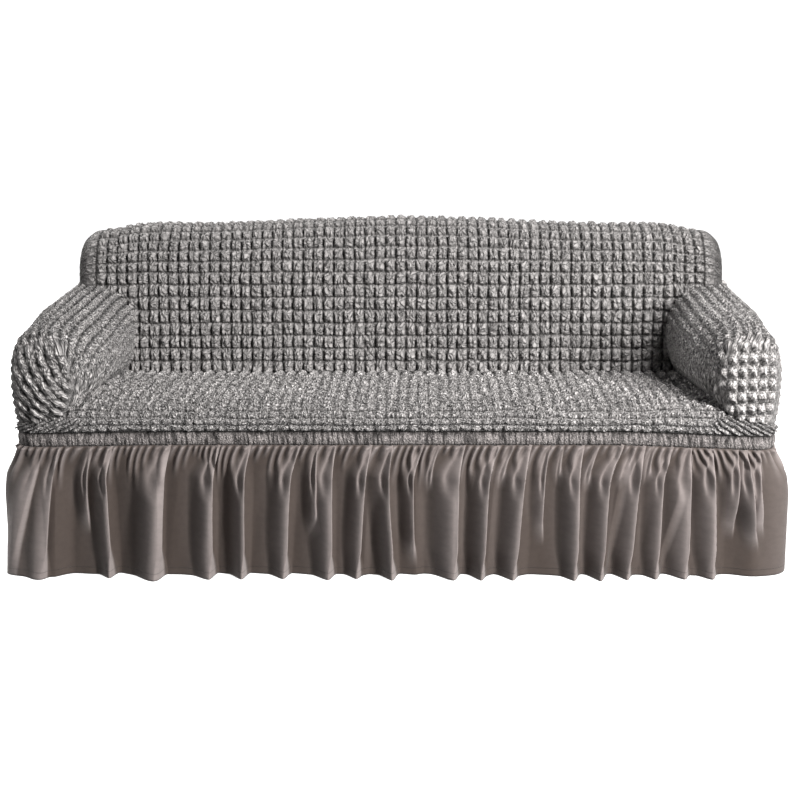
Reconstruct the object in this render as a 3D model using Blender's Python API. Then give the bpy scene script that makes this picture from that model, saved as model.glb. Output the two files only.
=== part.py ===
"""Fitted slipcover for a three-seat sofa.

Stretched bubble-cloth panels go over the back, the seat and the arms. An elastic waistband runs round
them, and a gathered skirt hangs from it to the floor. The cover is hollow: the sofa goes inside it.

Metres. +X is to the right of someone who faces the sofa, -Y is its front and +Z is up. The origin is on
the floor, under the middle of the cover. Panels are laid out by "depth", which is the distance behind
the sofa's front plane, and the wall line is the outline that the waistband and the skirt follow.
Each panel is a grid of points on its outer face, which Solidify makes into a sheet."""

import math

import bmesh
import bpy
import numpy as np

# Driving dimensions
CLOTH = 0.0025  # thickness of the bubble cloth and the band
SEAM_ROW = 0.004  # width of the row beside a seam on a curved face, so that both edges point the same way
SKIRT_CLOTH = 0.0020
SEAM = 0.0003  # gap between two panels at a seam
CURVED_SEAM = 0.0008  # the same where the sheets bend at the seam and their inner edges come closer
BODY_DEPTH = 0.880
ORIGIN_DEPTH = 0.426  # the origin lies here, midway between the skirt's foremost and rearmost folds
WALL_HALF_WIDTH = 1.003
CORNER = 0.060  # plan radius of the four corners, and of the back's two ends

# Waistband and skirt
BAND_TOP = 0.400
BAND_HEIGHT = 0.036
BAND_BULGE = 0.0015
BAND_SAG_LEFT = 0.006  # the band hangs a little lower at its ends
BAND_SAG_RIGHT = 0.016
BAND_SAG_FROM = 0.60  # it drops evenly from here; every panel along it has a column at this place
SKIRT_FULL_BELOW = 0.42  # share of the skirt's height over which the folds open out
SKIRT_LEVELS = (0.0, 0.12, 0.30, 0.62, 1.0)  # rows, as shares of the height, from the band down
SIDE_FLARE = 0.030  # how far the side strips stand out before their folds
SIDE_FLARE_BELOW = 0.25  # share of the height over which they come out
FLARE_FADES = 0.080  # how far past the side the flare fades out
CORNER_FLARE = 0.020  # how far the strips' edges stand out besides
END_ROW = 0.08  # share of a strip's first and last fold taken by the column beside its edge
FOLD_STEPS = 3  # columns from a fold's nose to its hollow

# Back
BACK_HALF_WIDTH = 0.962
BACK_FLAT = BACK_HALF_WIDTH - CORNER  # the end panels start here
BACK_CROWN = 0.020  # the top is this much lower towards the ends
CROWN_SPREAD = 0.650  # half-width over which it comes down
END_DROOP = 0.020  # and it drops this much more beside the ends
DROOP_FROM = 0.760
CROWN_FROM = 0.690  # height below which the crown has no effect
LEDGE = 0.668  # height at which the back's ends meet the arms
HIDDEN_FOOT = 0.650  # height of the back panel's lower edge behind an arm
ARM_COVERS_FROM = 0.842  # behind this half-width the back panel stops at HIDDEN_FOOT
BEHIND_ARM = 0.872  # half-width of its one column between there and the end panel
END_TUCK = 0.008  # the end panel's rounded edges turn in this much deeper than their radius
END_LEVELS = (0.66, 0.33, 0.0)  # rows of the end panel's flat part, as shares of its height

# Arms
ARM_FOOT_REAR = 0.836  # half-width of the crease between arm and seat, at the back and at the front
ARM_FOOT_FRONT = 0.862
ARM_TAPER_DEPTH = 0.350  # the arm reaches its full section this far back
ARM_BUTT = 0.0012  # the seat panel stops this far short of the arm
ARM_STEPS = (0.0, 0.25, 0.50, 0.70, 0.82, 0.91, 0.965, 1.0)  # rows along an arm, closer towards its front
CAP_FOOT_INNER = 0.890  # half-widths between which the arm front's lines meet the seat's strip
CAP_FOOT_OUTER = 0.935
CAP_PUFF = 0.014
END_CLEAR = 0.0030  # the arm's top stops this far outside the back's end
ARM_EDGE_INNER = 0.034  # radius of the arm's front edge: inner side, top and outer side
ARM_EDGE_TOP = 0.075
ARM_EDGE_OUTER = 0.060
EDGE_LIMIT = 0.85  # the edge takes at most this share of a line's length down the front
CAP_LEVELS = (0.72, 0.44, 0.20, 0.0)  # rows of the arm's front below its edge, as shares of the height
CAP_PUFF_LIFT = 0.12  # the puff is fullest this much below half height
CAP_FULL_LENGTH = 0.15  # a line shorter than this puffs less

# The seat's strip under the arm fronts
STRIP_TOP = 0.436
STRIP_FADES_AT = 1.160  # distance along the wall line where its height runs out
STRIP_END = 1.120
STRIP_BULGE = 0.006
BULGE_FADES = 0.200  # distance over which its bulge runs out

COLOURS = {
    "bubble": (0.300, 0.290, 0.280, 1.0),
    "band": (0.240, 0.222, 0.208, 1.0),
    "skirt": (0.215, 0.194, 0.180, 1.0),
}

# Section of the seat, front to rear: name, depth, height
SEAT_SECTION = (
    ("foot", 0.000, 0.400),
    ("bulge", -0.006, 0.418),
    ("strip", 0.000, 0.436),
    ("roll", 0.022, 0.449),
    ("front_crown", 0.080, 0.455),
    ("crown", 0.260, 0.452),
    ("rear", 0.480, 0.434),
    ("crease", 0.580, 0.420),
    ("tuck", 0.585, 0.420),
)

# Section of the back, from the seat over the top and down the rear: name, depth, height
BACK_SECTION = (
    ("front_foot", 0.580, 0.420),
    ("front_low", 0.588, 0.520),
    ("front_mid", 0.598, 0.640),
    ("front_high", 0.618, 0.760),
    ("front_round", 0.650, 0.832),
    ("crest_front", 0.694, 0.862),
    ("crest", 0.740, 0.868),
    ("crest_rear", 0.795, 0.861),
    ("rear_round", 0.846, 0.832),
    ("rear_high", 0.874, 0.780),
    ("rear_mid", 0.880, 0.640),
    ("rear_foot", 0.880, 0.400),
)

# Section of an arm, from the seat over the top and down outside, as half-width and height: first where
# the arm is full, then at its front edge
ARM_SECTION = (
    ("inner_foot", 0.836, 0.430, 0.862, 0.450),
    ("inner_low", 0.806, 0.470, 0.846, 0.490),
    ("inner_bulge", 0.792, 0.545, 0.838, 0.545),
    ("inner_high", 0.803, 0.615, 0.842, 0.600),
    ("inner_round", 0.838, 0.659, 0.864, 0.645),
    ("top", 0.900, 0.678, 0.905, 0.665),
    ("top_outer", 0.955, 0.677, 0.952, 0.661),
    ("shoulder", 0.995, 0.655, 0.990, 0.638),
    ("outer_high", 1.012, 0.610, 1.008, 0.595),
    ("outer_mid", 1.016, 0.520, 1.014, 0.510),
    ("outer_low", 1.011, 0.445, 1.010, 0.445),
    ("outer_foot", 1.003, 0.400, 1.003, 0.400),
)

# Folds of the front skirt, left to right, at the hem: where the fold's nose is, how far it stands out,
# where the hollow on its right is, how far that stands out (negative is inwards), and how far to the
# right the whole fold lies up at the band
FRONT_FOLDS = (
    # nose, reach, hollow, sink, lean
    (-0.962, 0.048, -0.940, 0.036, 0.010),
    (-0.915, 0.050, -0.845, -0.024, 0.020),
    (-0.772, -0.004, -0.728, -0.032, -0.005),
    (-0.652, 0.062, -0.605, -0.008, 0.014),
    (-0.505, 0.024, -0.472, -0.032, 0.014),
    (-0.416, 0.022, -0.383, -0.030, 0.022),
    (-0.308, 0.006, -0.272, -0.026, 0.030),
    (-0.190, 0.030, -0.150, -0.014, 0.006),
    (-0.092, 0.014, -0.066, -0.010, 0.026),
    (-0.012, 0.028, 0.018, -0.014, -0.012),
    (0.050, 0.008, 0.084, -0.020, 0.000),
    (0.156, 0.026, 0.182, -0.008, 0.016),
    (0.240, 0.038, 0.268, 0.000, 0.024),
    (0.322, 0.038, 0.364, 0.002, 0.020),
    (0.478, 0.042, 0.504, 0.006, 0.014),
    (0.553, 0.052, 0.574, -0.006, 0.042),
    (0.626, 0.026, 0.652, 0.006, 0.038),
    (0.696, 0.036, 0.720, -0.018, 0.052),
    (0.822, 0.034, 0.902, -0.006, -0.006),
    (0.965, 0.028, 1.000, 0.014, -0.040),
)

# Plain runs of folds on the sides and the rear: how many, mean reach, mean sink, unevenness, seed
PLAIN_FOLDS = {
    "side": (7, 0.016, -0.010, 0.010, 3.1),
    "rear": (18, 0.024, -0.016, 0.012, 8.7),
}
NOSE_AT = (0.45, 0.16)  # where a plain fold's nose lies in its own length, and how much that varies
HOLLOW_AFTER = (0.40, 0.10)  # how far its hollow lies from the nose, and how much that varies
PLAIN_LEAN = 0.020
SINK_SPREAD = 0.6  # hollows are this much more even than noses


def smoothstep(t):
    """0 below 0, 1 above 1, and a smooth rise between them."""
    t = min(max(t, 0.0), 1.0)
    return t * t * (3 - 2 * t)


def uneven(index, seed):
    """A fixed number between -1 and 1 for each index, so that repeated folds differ."""
    return math.sin(index * 12.9898 + seed * 78.233) * math.cos(index * 4.1414 + seed)


class Curve:
    """A smooth line through a section's rows, read by its share of length from 0 to 1."""

    def __init__(self, points):
        self.points = np.array(points, float)
        steps = np.linalg.norm(np.diff(self.points, axis=0), axis=1)
        self.length = steps.sum()
        self.at = np.concatenate([[0], np.cumsum(steps)]) / self.length
        self.slopes = np.gradient(self.points, self.at, axis=0)

    def point(self, t):
        i = int(np.clip(np.searchsorted(self.at, t) - 1, 0, len(self.at) - 2))
        span = self.at[i + 1] - self.at[i]
        u = (t - self.at[i]) / span
        start, end = self.points[i], self.points[i + 1]
        leave, arrive = self.slopes[i] * span, self.slopes[i + 1] * span
        return (
            start * (2 * u**3 - 3 * u**2 + 1)
            + leave * (u**3 - 2 * u**2 + u)
            + end * (3 * u**2 - 2 * u**3)
            + arrive * (u**3 - u**2)
        )

    def share_at(self, axis, value, low=0.0, high=1.0):
        """The share between low and high at which one coordinate reaches a value."""
        rising = self.point(high)[axis] > self.point(low)[axis]
        for _ in range(40):
            middle = (low + high) / 2
            if (self.point(middle)[axis] < value) == rising:
                low = middle
            else:
                high = middle
        return (low + high) / 2


SEAT = Curve([row[1:] for row in SEAT_SECTION])
BACK = Curve([row[1:] for row in BACK_SECTION])
ARM_FULL = Curve([row[1:3] for row in ARM_SECTION])
ARM_FRONT = Curve([row[3:5] for row in ARM_SECTION])


def share_of(curve, section, name):
    """Where a named row lies along its curve."""
    return float(curve.at[[row[0] for row in section].index(name)])


def wall(s):
    """The wall line, s metres from the middle of the front, positive to the right: x, depth and the
    outward direction."""
    side = math.copysign(1.0, s)
    rest = abs(s)
    flat = WALL_HALF_WIDTH - CORNER
    turn = CORNER * math.pi / 2
    along = BODY_DEPTH - 2 * CORNER
    if rest <= flat:
        return side * rest, 0.0, 0.0, -1.0
    rest -= flat
    if rest <= turn:
        a = rest / CORNER
        x = flat + CORNER * math.sin(a)
        return side * x, CORNER * (1 - math.cos(a)), side * math.sin(a), -math.cos(a)
    rest -= turn
    if rest <= along:
        return side * WALL_HALF_WIDTH, CORNER + rest, side, 0.0
    rest -= along
    if rest <= turn:
        a = rest / CORNER
        x = flat + CORNER * math.cos(a)
        depth = BODY_DEPTH - CORNER * (1 - math.sin(a))
        return side * x, depth, side * math.cos(a), math.sin(a)
    rest -= turn
    return side * (flat - rest), BODY_DEPTH, 0.0, 1.0


# Where the skirt's strips meet, past the front corners and before the rear ones
FRONT_CORNER = WALL_HALF_WIDTH - CORNER + CORNER * math.pi / 2
REAR_CORNER = FRONT_CORNER + BODY_DEPTH - 2 * CORNER
HALF_ROUND = REAR_CORNER + FRONT_CORNER


def band_top(x):
    """Height of the waistband's upper edge, where every panel above it ends."""
    sag = BAND_SAG_RIGHT if x > 0 else BAND_SAG_LEFT
    past = (abs(x) - BAND_SAG_FROM) / (WALL_HALF_WIDTH - BAND_SAG_FROM)
    return BAND_TOP - sag * max(past, 0.0)


def seat_height(depth):
    """Height of the seat panel behind its front roll."""
    return SEAT.point(SEAT.share_at(0, depth, SEAT.at[2], 1.0))[1]


def strip_top(s):
    """Height of the seat's strip under an arm front, along the wall line."""
    low = band_top(wall(s)[0])
    fade = (abs(s) - ARM_FOOT_FRONT) / (STRIP_FADES_AT - ARM_FOOT_FRONT)
    return low + (STRIP_TOP - low) * (1 - smoothstep(fade))


def arm_foot(depth):
    """Half-width of the crease between arm and seat."""
    front = 1 - smoothstep(depth / ARM_TAPER_DEPTH)
    return ARM_FOOT_REAR + (ARM_FOOT_FRONT - ARM_FOOT_REAR) * front


def place(x, depth, height):
    """A point in the cover's own frame, from half-width, depth and height."""
    return (x, depth - ORIGIN_DEPTH, height)


def sheet(name, rows, colour, thickness=CLOTH, closed=False):
    """A panel from rows of points on its outer face. A point that is None is left out, and a closed
    panel joins each row's end to its start. Seen from outside, each row runs to the right and the next
    one lies above it, so that the faces point out."""
    mesh = bpy.data.meshes.new(name)
    net = bmesh.new()
    points = [[None if p is None else net.verts.new(p) for p in row] for row in rows]
    columns = len(points[0])
    for lower, upper in zip(points, points[1:]):
        for i in range(columns if closed else columns - 1):
            j = (i + 1) % columns
            corners = (lower[i], lower[j], upper[j], upper[i])
            if None not in corners:
                net.faces.new(corners)
    for vert in list(net.verts):
        if not vert.link_faces:
            net.verts.remove(vert)
    net.to_mesh(mesh)
    net.free()
    mesh.shade_smooth()
    piece = bpy.data.objects.new(name, mesh)
    bpy.context.scene.collection.objects.link(piece)
    solid = piece.modifiers.new("cloth", "SOLIDIFY")
    solid.thickness = thickness
    solid.offset = -1.0
    solid.use_quality_normals = True
    mesh.materials.append(cloth_material(name, COLOURS[colour]))
    return piece


def cloth_material(name, colour):
    material = bpy.data.materials.new(name)
    material.use_nodes = True
    shader = material.node_tree.nodes["Principled BSDF"]
    shader.inputs["Base Color"].default_value = colour
    shader.inputs["Roughness"].default_value = 0.9
    shader.inputs["Metallic"].default_value = 0.0
    return material


def stretch(low, high, count):
    return [float(v) for v in np.linspace(low, high, count)]


# ---------------------------------------------------------------- back


def back_point(x, share):
    """The back's outer face between its two ends, with the crown along its top."""
    depth, height = BACK.point(share)
    crest = max(row[2] for row in BACK_SECTION)
    drop = BACK_CROWN * smoothstep(abs(x) / CROWN_SPREAD)
    drop += END_DROOP * smoothstep((abs(x) - DROOP_FROM) / (BACK_FLAT - DROOP_FROM))
    height -= drop * smoothstep((height - CROWN_FROM) / (crest - CROWN_FROM))
    return x, depth, height


def back_columns():
    """Half-widths of the two back panels' columns, which agree along the seam between them."""
    half = stretch(0.0, BAND_SAG_FROM, 7) + stretch(BAND_SAG_FROM, ARM_COVERS_FROM, 4)[1:]
    half += [BEHIND_ARM, BACK_FLAT]
    return [-x for x in reversed(half[1:])] + half


def back_front_depth(height):
    """Depth of the back's front face at a height."""
    crest = share_of(BACK, BACK_SECTION, "crest")
    return BACK.point(BACK.share_at(1, height, 0.0, crest))[0]


def build_back_inside():
    """Front of the back and over its top, to the seam along the top's rear edge."""
    seam = share_of(BACK, BACK_SECTION, "crest_rear")
    hidden = BACK.share_at(1, HIDDEN_FOOT, 0.0, share_of(BACK, BACK_SECTION, "front_round"))
    bend = share_of(BACK, BACK_SECTION, "front_high")
    levels = stretch(0.0, hidden, 4) + stretch(hidden, bend, 4)[1:]
    levels += stretch(bend, seam - SEAM_ROW / BACK.length, 6)[1:] + [seam]
    rows = []
    for level in levels:
        row = []
        for x in back_columns():
            if abs(x) > ARM_COVERS_FROM + SEAM and level < hidden - 1e-9:
                row.append(None)
                continue
            px, depth, height = back_point(x, level)
            if level == 0.0:
                height += 2 * SEAM
            row.append(place(px, depth, height))
        rows.append(row)
    sheet("back_inside", rows, "bubble")


def build_back_outside():
    """Rear of the back, with a wrap round each rear corner as far as the arm panel."""
    seam = share_of(BACK, BACK_SECTION, "crest_rear")
    rear = share_of(BACK, BACK_SECTION, "rear_high")
    ledge = BACK.share_at(1, LEDGE, rear, 1.0)
    start = seam + 1.5 * SEAM / BACK.length
    levels = stretch(1.0, ledge, 5) + stretch(ledge, rear, 3)[1:]
    levels += stretch(rear, start + SEAM_ROW / BACK.length, 4)[1:] + [start]
    outer = [share_of(ARM_FULL, ARM_SECTION, "top_outer"), share_of(ARM_FULL, ARM_SECTION, "outer_foot")]
    turns = stretch(0.0, math.pi / 2, 6)
    rows = []
    for level in levels:
        depth, height = BACK.point(level)
        if level > ledge + 1e-9 or abs(level - ledge) < 1e-9:
            wrap_height = max(height, band_top(WALL_HALF_WIDTH) + SEAM)
            half = ARM_FULL.point(ARM_FULL.share_at(1, wrap_height, *outer))[0]
            inner = half - CORNER
            behind = BODY_DEPTH - CORNER
            wrap = [(inner + CORNER * math.sin(a), behind + CORNER * math.cos(a)) for a in turns]
        else:
            wrap = [None] * len(turns)
        middle = [back_point(x, level) for x in reversed(back_columns())]
        ring = [None if p is None else (p[0], p[1], height) for p in reversed(wrap)]
        ring += middle
        ring += [None if p is None else (-p[0], p[1], height) for p in wrap]
        row = []
        for point in ring:
            if point is None:
                row.append(None)
                continue
            x, at, up = point
            if level == 1.0:
                up = band_top(x) + SEAM
            row.append(place(x, at, up))
        rows.append(row)
    sheet("back_outside", rows, "bubble")


def build_back_end(name, side):
    """One end of the back: round the corner from the front, over the top and from the rear, then down
    to the arm."""
    front = BACK.share_at(1, LEDGE + SEAM, 0.0, share_of(BACK, BACK_SECTION, "crest"))
    rear = BACK.share_at(1, LEDGE + SEAM, share_of(BACK, BACK_SECTION, "crest"), 1.0)
    start = BACK_FLAT + CURVED_SEAM
    radius = BACK_HALF_WIDTH - start
    reach = radius + END_TUCK
    foot_front = back_front_depth(LEDGE) + reach
    foot_rear = BODY_DEPTH - reach
    columns = []
    for share in stretch(front, rear, 15):
        part = (share - front) / (rear - front)
        _, depth, height = back_point(side * start, share)
        foot = np.array([foot_front + (foot_rear - foot_front) * part, LEDGE + SEAM])
        arm = np.array([depth, height]) - foot
        length = np.linalg.norm(arm)
        column = []
        for a in stretch(0.0, math.pi / 2, 5):
            along = foot + arm * (1 - radius * (1 - math.cos(a)) / length)
            column.append((side * (start + radius * math.sin(a)), along[0], along[1]))
        for k in END_LEVELS:
            along = foot + arm * (1 - radius / length) * k
            column.append((side * BACK_HALF_WIDTH, along[0], along[1]))
        columns.append([place(*p) for p in column])
    rows = list(zip(*columns))
    sheet(name, rows[::-1] if side > 0 else rows, "bubble")


# ---------------------------------------------------------------- seat


def build_seat():
    """Deck, front roll, and the strips that run on under the arm fronts and round the corners. The
    deck's rows lie where the rows of the arms stand on it."""
    strip = share_of(SEAT, SEAT_SECTION, "strip")
    strip_levels = stretch(0.0, strip, 4)
    rear = BACK_SECTION[0][1] - 2 * SEAM
    front = arm_edge_radius(0.0, 1.0)
    under_arm = [SEAT.share_at(0, rear + (front - rear) * part, strip, 1.0) for part in reversed(ARM_STEPS)]
    levels = strip_levels + stretch(strip, under_arm[0], 3)[1:] + under_arm[1:] + [1.0]
    wing = stretch(ARM_FOOT_FRONT, STRIP_END, 11)[1:]
    kink = BAND_SAG_FROM * ARM_FOOT_FRONT / (ARM_FOOT_FRONT - ARM_BUTT)
    half = stretch(0.0, kink, 6) + stretch(kink, ARM_FOOT_FRONT, 4)[1:] + wing
    columns = [-s for s in reversed(half[1:])] + half
    rows = []
    for level in levels:
        row = []
        for s in columns:
            if abs(s) > ARM_FOOT_FRONT + SEAM:
                if level > strip + 1e-9:
                    row.append(None)
                    continue
                part = level / strip
                x, depth, out_x, out_depth = wall(s)
                bulge = STRIP_BULGE * math.sin(math.pi * part)
                bulge *= smoothstep((STRIP_FADES_AT - abs(s)) / BULGE_FADES)
                low = band_top(x) + SEAM
                height = low + (strip_top(s) - low) * part
                row.append(place(x + out_x * bulge, depth + out_depth * bulge, height))
                continue
            depth, height = SEAT.point(level)
            x = s * (arm_foot(depth) - ARM_BUTT) / ARM_FOOT_FRONT
            low = band_top(x) + SEAM
            if level <= strip + 1e-9:
                height = low + (height - BAND_TOP) * (STRIP_TOP - low) / (STRIP_TOP - BAND_TOP)
            row.append(place(x, depth, height))
        rows.append(row)
    sheet("seat_panel", rows, "bubble")


# ---------------------------------------------------------------- arms


def arm_columns():
    """The arm's lengthwise lines: where each lies in the section, and the depth at which it stops. That is
    at the back's front face, round the corner of the back's end, or, outside that end, at the panel
    that wraps the rear corner."""
    low = share_of(ARM_FULL, ARM_SECTION, "top")
    high = share_of(ARM_FULL, ARM_SECTION, "shoulder")
    columns = []
    for share in stretch(0.0, low, 12):
        height = arm_section(share, BACK_SECTION[0][1])[1]
        columns.append((share, back_front_depth(height) - 2 * SEAM))
    for a in stretch(0.0, math.pi / 2, 5):
        radius = CORNER + 6 * SEAM + END_CLEAR * math.sin(a)
        x = BACK_FLAT + radius * math.sin(a)
        share = ARM_FULL.share_at(0, x, low, high)
        front = back_front_depth(ARM_FULL.point(share)[1])
        columns.append((share, front + CORNER - radius * math.cos(a)))
    beside = ARM_FULL.share_at(0, x + 2 * SEAM, low, high)
    for share in stretch(beside, 1.0, 10):
        columns.append((share, BODY_DEPTH - CORNER - CURVED_SEAM))
    return columns


def arm_section(share, depth):
    """The arm's section at a depth, as half-width and height. Its inner side stands on the seat."""
    front = 1 - smoothstep((depth - ARM_EDGE_TOP) / (ARM_TAPER_DEPTH - ARM_EDGE_TOP))
    x, height = ARM_FULL.point(share) * (1 - front) + ARM_FRONT.point(share) * front
    foot = ARM_FULL.point(0.0)[1] * (1 - front) + ARM_FRONT.point(0.0)[1] * front
    near_foot = 1 - share / share_of(ARM_FULL, ARM_SECTION, "inner_bulge")
    if near_foot > 0:
        height += (seat_height(depth) + 3 * SEAM - foot) * near_foot
    return np.array([x, height])


def arm_edge(share):
    """Radius of the arm's front edge along a lengthwise line."""
    side = ARM_EDGE_INNER if share < 0.5 else ARM_EDGE_OUTER
    return side + (ARM_EDGE_TOP - side) * math.sin(math.pi * share) ** 2


def arm_front(share, side):
    """Where a lengthwise line turns over the arm's front edge, where it ends at the seat's strip, and
    the distance between the two."""
    foot_x = CAP_FOOT_INNER + (CAP_FOOT_OUTER - CAP_FOOT_INNER) * share
    foot = np.array([foot_x, strip_top(side * foot_x) + SEAM])
    corner = arm_section(share, arm_edge(share))
    if share == 0.0:
        corner[0] = arm_foot(arm_edge(share))
    if share == 1.0:
        corner = np.array([WALL_HALF_WIDTH, foot[1]])
    return corner, foot, np.linalg.norm(corner - foot)


def arm_edge_radius(share, side):
    """Radius of the front edge, which stays within the length that the line has there."""
    length = arm_front(share, side)[2]
    return min(arm_edge(share), EDGE_LIMIT * length) if share < 1.0 else CORNER


def arm_line(share, rear, side):
    """One lengthwise line of the arm: forward along it, over its front edge and down its front."""
    line = []
    corner, foot, length = arm_front(share, side)
    edge = arm_edge_radius(share, side)
    for part in ARM_STEPS:
        depth = rear + (edge - rear) * part
        x, height = arm_section(share, depth)
        if share == 0.0:
            x = arm_foot(depth)
        if share == 1.0:
            s = WALL_HALF_WIDTH - CORNER + CORNER * math.pi / 2 + depth - CORNER
            height = strip_top(side * s) + SEAM
        line.append((x, depth, height))
    for a in stretch(0.0, math.pi / 2, 5)[1:]:
        x, height = foot + (corner - foot) * (1 - edge * (1 - math.cos(a)) / length)
        if share == 1.0:
            height = strip_top(side * (WALL_HALF_WIDTH - CORNER + CORNER * (math.pi / 2 - a))) + SEAM
        line.append((x, edge * (1 - math.sin(a)), height))
    for k in CAP_LEVELS:
        x, height = foot + (corner - foot) * (1 - edge / length) * k
        puff = CAP_PUFF * min(1.0, length / CAP_FULL_LENGTH)
        puff *= math.sin(math.pi * min(k + CAP_PUFF_LIFT, 1.0))
        line.append((x, -puff, height))
    return line


def build_arm(name, side):
    """One arm panel: inner side, top, outer side and the front that it wraps over."""
    lines = [arm_line(share, rear, side) for share, rear in arm_columns()]
    rows = [[place(side * x, depth, height) for x, depth, height in row] for row in zip(*lines)]
    sheet(name, [row[::-1] for row in rows] if side > 0 else rows, "bubble")


# ---------------------------------------------------------------- waistband and skirt


def wall_stations():
    """Distances along the whole wall line, closer together round the corners."""
    turn = CORNER * math.pi / 2
    flat = WALL_HALF_WIDTH - CORNER
    along = BODY_DEPTH - 2 * CORNER
    half = stretch(0.0, BAND_SAG_FROM, 3) + stretch(BAND_SAG_FROM, flat, 5)[1:]
    half += stretch(flat, flat + turn, 6)[1:]
    half += stretch(flat + turn, flat + turn + along, 4)[1:]
    half += stretch(flat + turn + along, flat + 2 * turn + along, 6)[1:]
    rear = flat + 2 * turn + along
    level_from = rear + flat - BAND_SAG_FROM
    half += stretch(rear, level_from, 4)[1:] + stretch(level_from, rear + flat, 3)[1:]
    return [-s for s in reversed(half[1:-1])] + half


def build_band():
    """The elastic waistband, one ring."""
    rows = []
    for part in (0.0, 0.5, 1.0):
        bulge = BAND_BULGE * math.sin(math.pi * part)
        row = []
        for s in wall_stations():
            x, depth, out_x, out_depth = wall(s)
            height = band_top(x) - BAND_HEIGHT * (1 - part)
            row.append(place(x + out_x * bulge, depth + out_depth * bulge, height))
        rows.append(row)
    sheet("waistband", rows, "band", closed=True)


def plain_folds(kind, start, end):
    """Uneven folds between two places on the wall line, in the same columns as FRONT_FOLDS."""
    count, reach, sink, spread, seed = PLAIN_FOLDS[kind]
    pitch = (end - start) / count
    folds = []
    for i in range(count):
        nose = start + pitch * (i + NOSE_AT[0] + NOSE_AT[1] * uneven(i, seed))
        hollow = nose + pitch * (HOLLOW_AFTER[0] + HOLLOW_AFTER[1] * uneven(i, seed + 1))
        out = reach + spread * uneven(i, seed + 2)
        back = sink + SINK_SPREAD * spread * uneven(i, seed + 3)
        folds.append((nose, out, hollow, back, PLAIN_LEAN * uneven(i, seed + 4)))
    return folds


def skirt_flare(s):
    """How far the skirt stands out from the wall line before its folds."""
    beyond = abs(abs(s) - (FRONT_CORNER + REAR_CORNER) / 2)
    half = (REAR_CORNER - FRONT_CORNER) / 2
    return SIDE_FLARE * (1 - smoothstep((beyond - half) / FLARE_FADES))


def build_skirt(name, start, end, folds):
    """One strip of the skirt, from start to end along the wall line, with its folds."""
    rows = []
    for level in reversed(SKIRT_LEVELS):
        opened = smoothstep(level / SKIRT_FULL_BELOW) * (0.8 + 0.2 * level)
        places = [start]
        offsets = [CORNER_FLARE]
        for nose, reach, hollow, sink, lean in folds:
            shift = lean * (1 - level)
            places += [nose + shift, hollow + shift]
            offsets += [reach, sink]
        places.append(end)
        offsets.append(CORNER_FLARE)
        row = []
        for k in range(len(places) - 1):
            parts = stretch(0.0, 1.0, FOLD_STEPS + 1)[(1 if k else 0) :]
            if k == 0:
                parts.insert(1, END_ROW)
            if k == len(places) - 2:
                parts.insert(-1, 1 - END_ROW)
            for part in parts:
                s = places[k] + (places[k + 1] - places[k]) * part
                fold = offsets[k] + (offsets[k + 1] - offsets[k]) * (1 - math.cos(math.pi * part)) / 2
                wrapped = s if s <= HALF_ROUND else s - 2 * HALF_ROUND
                x, depth, out_x, out_depth = wall(wrapped)
                out = fold * opened + skirt_flare(wrapped) * smoothstep(level / SIDE_FLARE_BELOW)
                top = band_top(x) - BAND_HEIGHT - 2 * SEAM
                row.append(place(x + out_x * out, depth + out_depth * out, top * (1 - level)))
        rows.append(row)
    sheet(name, rows, "skirt", thickness=SKIRT_CLOTH)


def build_skirts():
    """Four strips, joined at the corners."""
    build_skirt("skirt_front", -FRONT_CORNER + SEAM, FRONT_CORNER - SEAM, FRONT_FOLDS)
    for name, start in (("skirt_right", FRONT_CORNER), ("skirt_left", -REAR_CORNER)):
        low = start + SEAM
        high = start + REAR_CORNER - FRONT_CORNER - SEAM
        build_skirt(name, low, high, plain_folds("side", low, high))
    low = REAR_CORNER + SEAM
    high = 2 * HALF_ROUND - REAR_CORNER - SEAM
    build_skirt("skirt_back", low, high, plain_folds("rear", low, high))


def main():
    for thing in list(bpy.data.objects):
        bpy.data.objects.remove(thing, do_unlink=True)
    build_back_inside()
    build_back_outside()
    build_back_end("back_end_right", 1.0)
    build_back_end("back_end_left", -1.0)
    build_seat()
    build_arm("arm_right", 1.0)
    build_arm("arm_left", -1.0)
    build_band()
    build_skirts()


main()
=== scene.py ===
"""Looks of the fitted sofa slipcover: bubble cloth over the back, seat and arms, a shirred elastic
waistband and a gathered skirt, each as a fine cloth surface over its own solid of the frame.

Metres, +X right, -Y front, +Z up. "Depth" is the distance behind the sofa's front plane, and the
wall line is the outline that the waistband and the skirt follow. Cloth coordinates count bubbles:
u across a panel and v along it, so that a whole number of either is a puckered line between two
bubbles. "Painted shading" is light and shade painted into the cloth's colour, from 0 for the
darkest painted shade in a hollow to 1 for full colour, and above 1 where light is painted."""

import math

import bpy
import numpy as np
from mathutils import Euler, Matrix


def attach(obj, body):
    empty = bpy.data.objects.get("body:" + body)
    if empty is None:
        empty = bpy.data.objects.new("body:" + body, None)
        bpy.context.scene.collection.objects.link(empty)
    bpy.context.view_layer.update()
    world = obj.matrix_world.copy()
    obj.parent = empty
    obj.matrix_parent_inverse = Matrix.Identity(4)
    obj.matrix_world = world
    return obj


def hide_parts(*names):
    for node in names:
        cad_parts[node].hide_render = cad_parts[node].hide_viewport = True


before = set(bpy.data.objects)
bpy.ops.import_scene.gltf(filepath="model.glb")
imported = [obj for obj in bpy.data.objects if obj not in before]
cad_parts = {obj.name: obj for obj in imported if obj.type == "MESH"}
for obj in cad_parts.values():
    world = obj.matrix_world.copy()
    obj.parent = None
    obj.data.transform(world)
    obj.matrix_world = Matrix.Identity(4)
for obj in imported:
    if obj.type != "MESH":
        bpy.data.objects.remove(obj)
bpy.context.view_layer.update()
PI = math.pi
SAMPLES = 801  # places at which a curve is read to find where it reaches a value

# ---- the cover's own sizes

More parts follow.
